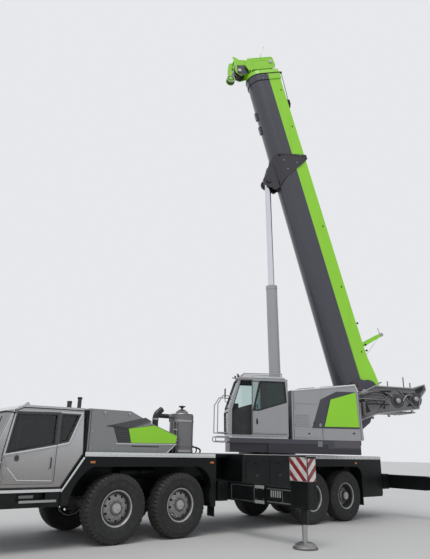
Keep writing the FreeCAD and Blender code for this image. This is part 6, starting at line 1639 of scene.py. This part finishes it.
def mouth_ring(shape, x0, x1, out0, out1, bore):
    loops = [ring_outline(0.42 + out0, 0.46 + out0, x0), ring_outline(0.42 + out1, 0.46 + out1, x1),
             ring_outline(0.42 + bore, 0.46 + bore, x1), ring_outline(0.42 + bore, 0.46 + bore, x0)]
    shape.rings(loops, closed=True)


s = Shape(BOOM)
mouth_ring(s, 12.0005, 12.185, 0.024, 0.006, -0.020)
s.done("mouth_collar", "boom_base", "green", 0.004)
s = Shape(BOOM)
mouth_ring(s, 11.985, 12.018, 0.040, 0.040, 0.020)
s.done("mouth_rim", "boom_base", "black", 0.004)
# Back: rope guide rollers on the brackets and the arm's ends
s = Shape(BOOM)
for x in (2.66, 5.26, 7.06, 9.26, 10.60, 11.85):
    s.lathe(((0.034, -0.14), (0.042, -0.13), (0.030, -0.10), (0.030, 0.10), (0.042, 0.13), (0.034, 0.14)),
            (x, 0, 0.555), (0, 1, 0), 20)
    for v in (-0.15, 0.15):
        s.box((x - 0.03, x + 0.03), (v - 0.006, v + 0.006), (0.458, 0.585))
s.done("rope_rollers", "boom_base", "steel", 0.001)
s = Shape(BOOM)
for v in (0.145, 0.175, -0.145, -0.175):
    s.lathe(((0.055, -0.006), (0.062, -0.004), (0.062, 0.004), (0.055, 0.006)), (1.66, v, 1.33), (0, 1, 0), 24)
s.done("arm_rings", "boom_base", "steel")
s = Shape(BOOM)
s.tube([(1.62, 0.0, 1.30), (0.985, 0.0, 0.50)], 0.007, 8)
s.tube([(1.66, 0.0, 1.36), (1.92, 0.0, 1.36)], 0.012, 8)
s.tube([(1.66, -0.02, 1.33), (1.66, 0.02, 1.37)], 0.016, 8)
s.done("arm_stays", "boom_base", "steel")
# Saddle: lugs' pin plates
for side, word in SIDES:
    s = Shape(BOOM)
    s.lathe(((0.070, 0.0), (0.096, 0.002), (0.096, 0.012), (0.060, 0.016), (0.0, 0.014)), (7.72, side * 0.225, -1.0),
            (0, side, 0), 32)
    s.prism([(8.02, 0.21), (8.23, 0.52), (8.40, 0.52), (8.62, -0.52), (8.55, -0.52), (8.34, 0.40), (8.26, 0.40), (8.08, 0.18)],
            side * 0.4495, side * 0.456)
    s.done("saddle_plate_" + word, "boom_base", "saddle", 0.003)

# Sections' mouths: pads
for level in range(1, 5):
    body = "boom_section_%d" % level if level > 1 else "boom_base"
    half = 0.420 - 0.052 * (level - 1)
    back = 0.460 - 0.052 * (level - 1)
    mouth = 12.0 + 0.08 * (level - 1)
    s = Shape(BOOM)
    for side in (LEFT, RIGHT):
        s.box((mouth - 0.02, mouth + 0.010), (side * (half - 0.055), side * (half - 0.020)), (-0.18, -0.06))
        s.box((mouth - 0.02, mouth + 0.010), (side * (half - 0.055), side * (half - 0.020)), (0.06, 0.18))
        s.box((mouth - 0.02, mouth + 0.010), (side * 0.10, side * 0.20), (back - 0.055, back - 0.020))
    s.done("mouth_pads_%d" % level, body, "pale", 0.002)

# Head
HEAD = BOOM @ Matrix.Translation((12.32, 0, 0))
s = Shape(HEAD)
for side in (LEFT, RIGHT):
    frame_plate(s, [(0.00, -0.40), (0.00, 0.30), (0.10, 0.45), (0.46, 0.45), (0.52, 0.39), (0.52, -0.40)],
                [(0.03, -0.37), (0.03, 0.28), (0.11, 0.42), (0.45, 0.42), (0.49, 0.37), (0.49, -0.37)],
                side * 0.2995, side * 0.308)
    s.prism([(0.20, -0.45), (0.42, -0.45), (0.42, 0.30), (0.38, 0.30), (0.38, -0.41), (0.20, -0.41)], side * 0.2995,
            side * 0.306)
s.done("head_ribs", "boom_section_5", "green", 0.003)
s = Shape(HEAD)
for side in (LEFT, RIGHT):
    for x, t, r in ((0.10, -0.93, 0.045), (0.30, 0.33, 0.045)):
        off = 0.209 if t < 0 else 0.319
        s.lathe(((r, 0.0), (r + 0.022, 0.002), (r + 0.022, 0.012), (0.02, 0.016), (0.0, 0.014)), (x, side * off, t),
                (0, side, 0), 28)
    bolts_ring(s, [(x, side * 0.2995, t) for x in (0.06, 0.27, 0.48) for t in (-0.50, -0.10, 0.20)], (0, side, 0))
s.done("head_pins", "boom_section_5", "steel")
s = Shape(HEAD)
for side in (LEFT, RIGHT):
    s.prism([(0.31, -0.575), (0.35, -0.98), (-0.03, -1.045), (-0.115, -0.875), (-0.04, -0.600)], side * 0.189,
            side * 0.197)
s.box((0.526, 0.536), (-0.24, 0.24), (-0.46, 0.36))
s.done("head_dark_plates", "boom_section_5", "charcoal", 0.004)
s = Shape(HEAD)
for side in (LEFT, RIGHT):
    s.tube([(0.43, side * 0.20, -1.045), (0.10, side * 0.20, -1.185), (-0.10, side * 0.18, -1.20)], 0.010, 8)
s.tube([(0.52, -0.20, 0.462), (0.52, 0.20, 0.462)], 0.012, 8)
s.tube([(0.93, 0, 0.181), (1.235, 0, 0.350)], 0.013, 8)
s.tube([(1.225, -0.05, 0.345), (1.225, 0.05, 0.345)], 0.012, 8)
for v in (-0.16, 0.16):
    s.lathe(((0.022, -0.05), (0.030, -0.045), (0.030, 0.045), (0.022, 0.05)), (0.30, v, 0.52), (1, 0, 0), 16)
    s.box((0.27, 0.33), (v - 0.008, v + 0.008), (0.455, 0.54))
s.done("head_guards", "boom_section_5", "steel")
s = Shape(HEAD)
s.box((0.515, 0.575), (0.10, 0.20), (0.36, 0.44))
s.pipe([(0.45, 0.15, 0.455), (0.30, 0.22, 0.48), (0.05, 0.25, 0.44), (-0.02, 0.25, 0.38)], 0.010, 0.06, 8)
s.done("head_lamp_case", "boom_section_5", "plastic", 0.004)
s = Shape(HEAD)
s.box((0.574, 0.580), (0.105, 0.195), (0.365, 0.435))
s.done("head_lamp_lens", "boom_section_5", "clear", 0.002)
# Rings round the small sheave's cheeks, and the lug at the front edge
s = Shape(HEAD)
for side in (LEFT, RIGHT):
    s.lathe(((0.105, 0.0), (0.162, 0.0), (0.162, 0.016), (0.150, 0.024), (0.118, 0.024), (0.105, 0.016), (0.105, 0.0)),
            (-0.15, side * 0.081, -1.31), (0, side, 0), 40)
    s.lathe(((0.0, 0.0), (0.060, 0.0), (0.060, 0.030), (0.040, 0.038), (0.0, 0.038)), (-0.15, side * 0.081, -1.31),
            (0, side, 0), 28)
s.done("small_sheave_rings", "boom_section_5", "green", 0.0)
s = Shape(HEAD)
s.lathe(((0.108, 0.0), (0.146, 0.0), (0.146, 0.028), (0.108, 0.028), (0.108, 0.0)), (-0.15, 0.082, -1.31), (0, 1, 0), 40)
s.done("small_sheave_light_ring", "boom_section_5", "pale")
s = Shape(HEAD)
for side in (LEFT, RIGHT):
    s.prism([(0.50, -0.90), (0.60, -0.83), (0.735, -0.985), (0.760, -1.055), (0.690, -1.060), (0.55, -1.00)],
            side * 0.160, side * 0.185)
s.done("head_front_lugs", "boom_section_5", "green", 0.004)
# Short wraps of rope over the head's sheaves
s = Shape(HEAD)
for k in (-1, 0, 1):
    v = 0.090 * k
    arc = [(0.30 + 0.165 * math.cos(t), v, 0.33 + 0.165 * math.sin(t))
           for t in (math.radians(a) for a in range(10, 175, 11))]
    s.tube(arc, 0.011, 8)
    arc = [(0.10 + 0.222 * math.cos(t), v, -0.93 + 0.222 * math.sin(t))
           for t in (math.radians(a) for a in range(-160, 25, 11))]
    s.tube(arc, 0.011, 8)
s.done("head_rope", "boom_section_5", "steel")

# Sleeve over the cylinder's barrel
s = Shape(LUFF)
s.lathe(((0.159, 0.300), (0.182, 0.310), (0.183, 4.470), (0.189, 4.478), (0.189, 4.596), (0.183, 4.604), (0.1785, 4.604),
         (0.1785, 4.440), (0.159, 4.440), (0.159, 0.300)), (0, 0, 0), (1, 0, 0), 64)
s.done("barrel_sleeve", "luff_barrel", "barrel")
# Luffing cylinder: gland bolts, hose along the barrel, foot ring
s = Shape(LUFF)
for k in range(12):
    t = 2 * math.pi * k / 12
    s.bolt((4.600, 0.148 * math.cos(t), 0.148 * math.sin(t)), (1, 0, 0), 0.012, 0.012)
s.lathe(((0.1065, 4.600), (0.132, 4.602), (0.132, 4.622), (0.108, 4.630), (0.1065, 4.630)), (0, 0, 0), (1, 0, 0), 40)
s.done("gland_bolts", "luff_barrel", "steel")
s = Shape(LUFF)
s.lathe(((0.182, 0.52), (0.188, 0.525), (0.188, 0.56), (0.182, 0.565), (0.182, 0.52)),
        (0, 0, 0), (1, 0, 0), 48)
s.done("barrel_rings", "luff_barrel", "charcoal")
s = Shape(LUFF)
s.pipe([(0.52, 0.127, 0.127), (0.36, 0.15, 0.14), (0.22, 0.16, 0.08)], 0.018, 0.06, 10)
s.done("barrel_hose", "luff_barrel", "hose")


# Floor, light and camera

def floor_material():
    t = Tree("mat_floor", Specular_IOR_Level=0.25)
    base = t.mix(t.noise(0.35, 5), (0.50, 0.495, 0.485), (0.56, 0.555, 0.545))
    t.link(base, t.shader.inputs["Base Color"])
    t.link(t.span(t.noise(3.0, 5), 0.3, 0.8, 0.72, 0.9), t.shader.inputs["Roughness"])
    t.bump(t.noise(40, 4), 0.1, 0.004)
    return t.material


floor_mesh = bpy.data.meshes.new("floor")
ground = bmesh.new()
ground.faces.new([ground.verts.new(p) for p in circle((0, 0, -0.002), (0, 0, 1), 140, 64)])
bmesh.ops.recalc_face_normals(ground, faces=ground.faces)
ground.to_mesh(floor_mesh)
ground.free()
floor = bpy.data.objects.new("floor", floor_mesh)
floor_mesh.materials.append(floor_material())
bpy.context.scene.collection.objects.link(floor)

world = bpy.data.worlds.new("sky")
bpy.context.scene.world = world
world.use_nodes = True
sky = world.node_tree
sky.nodes.clear()
sky_out = sky.nodes.new("ShaderNodeOutputWorld")
blend = sky.nodes.new("ShaderNodeMixShader")
seen = sky.nodes.new("ShaderNodeBackground")
lit = sky.nodes.new("ShaderNodeBackground")
rays = sky.nodes.new("ShaderNodeLightPath")
seen.inputs["Color"].default_value = (0.80, 0.81, 0.835, 1)
seen.inputs["Strength"].default_value = 1.0
lit.inputs["Color"].default_value = (0.90, 0.94, 1.0, 1)
lit.inputs["Strength"].default_value = 0.72
direct = sky.nodes.new("ShaderNodeMath")
direct.operation = "ADD"
sky.links.new(rays.outputs["Is Camera Ray"], direct.inputs[0])
sky.links.new(rays.outputs["Is Glossy Ray"], direct.inputs[1])
shown = sky.nodes.new("ShaderNodeMath")
shown.operation = "ADD"
shown.use_clamp = True
sky.links.new(direct.outputs[0], shown.inputs[0])
sky.links.new(rays.outputs["Is Transmission Ray"], shown.inputs[1])
sky.links.new(shown.outputs[0], blend.inputs[0])
sky.links.new(lit.outputs[0], blend.inputs[1])
sky.links.new(seen.outputs[0], blend.inputs[2])
sky.links.new(blend.outputs[0], sky_out.inputs[0])

sun_data = bpy.data.lights.new("sun", "SUN")
sun_data.energy = 1.35
sun_data.angle = math.radians(35)
sun_data.color = (1.0, 0.98, 0.95)
sun = bpy.data.objects.new("sun", sun_data)
sun.rotation_euler = Vector((-0.45, -0.35, -1.0)).to_track_quat("-Z", "Y").to_euler()
bpy.context.scene.collection.objects.link(sun)

lens = bpy.data.cameras.new("camera")
lens.sensor_width = 36.0
lens.lens = 32.72
lens.clip_start = 0.1
lens.clip_end = 500
camera = bpy.data.objects.new("camera", lens)
right, up, ahead = (Vector(v) for v in (
    (-0.78079, 0.62447, 0.02005), (0.21430, 0.23753, 0.94745), (-0.58689, -0.74406, 0.31928)))
turned_to = Matrix((right, up, -ahead)).transposed().to_4x4()
camera.matrix_world = Matrix.Translation((9.234, 11.519, 1.8586)) @ turned_to
bpy.context.scene.collection.objects.link(camera)
bpy.context.scene.camera = camera
bpy.context.scene.view_settings.view_transform = "Standard"
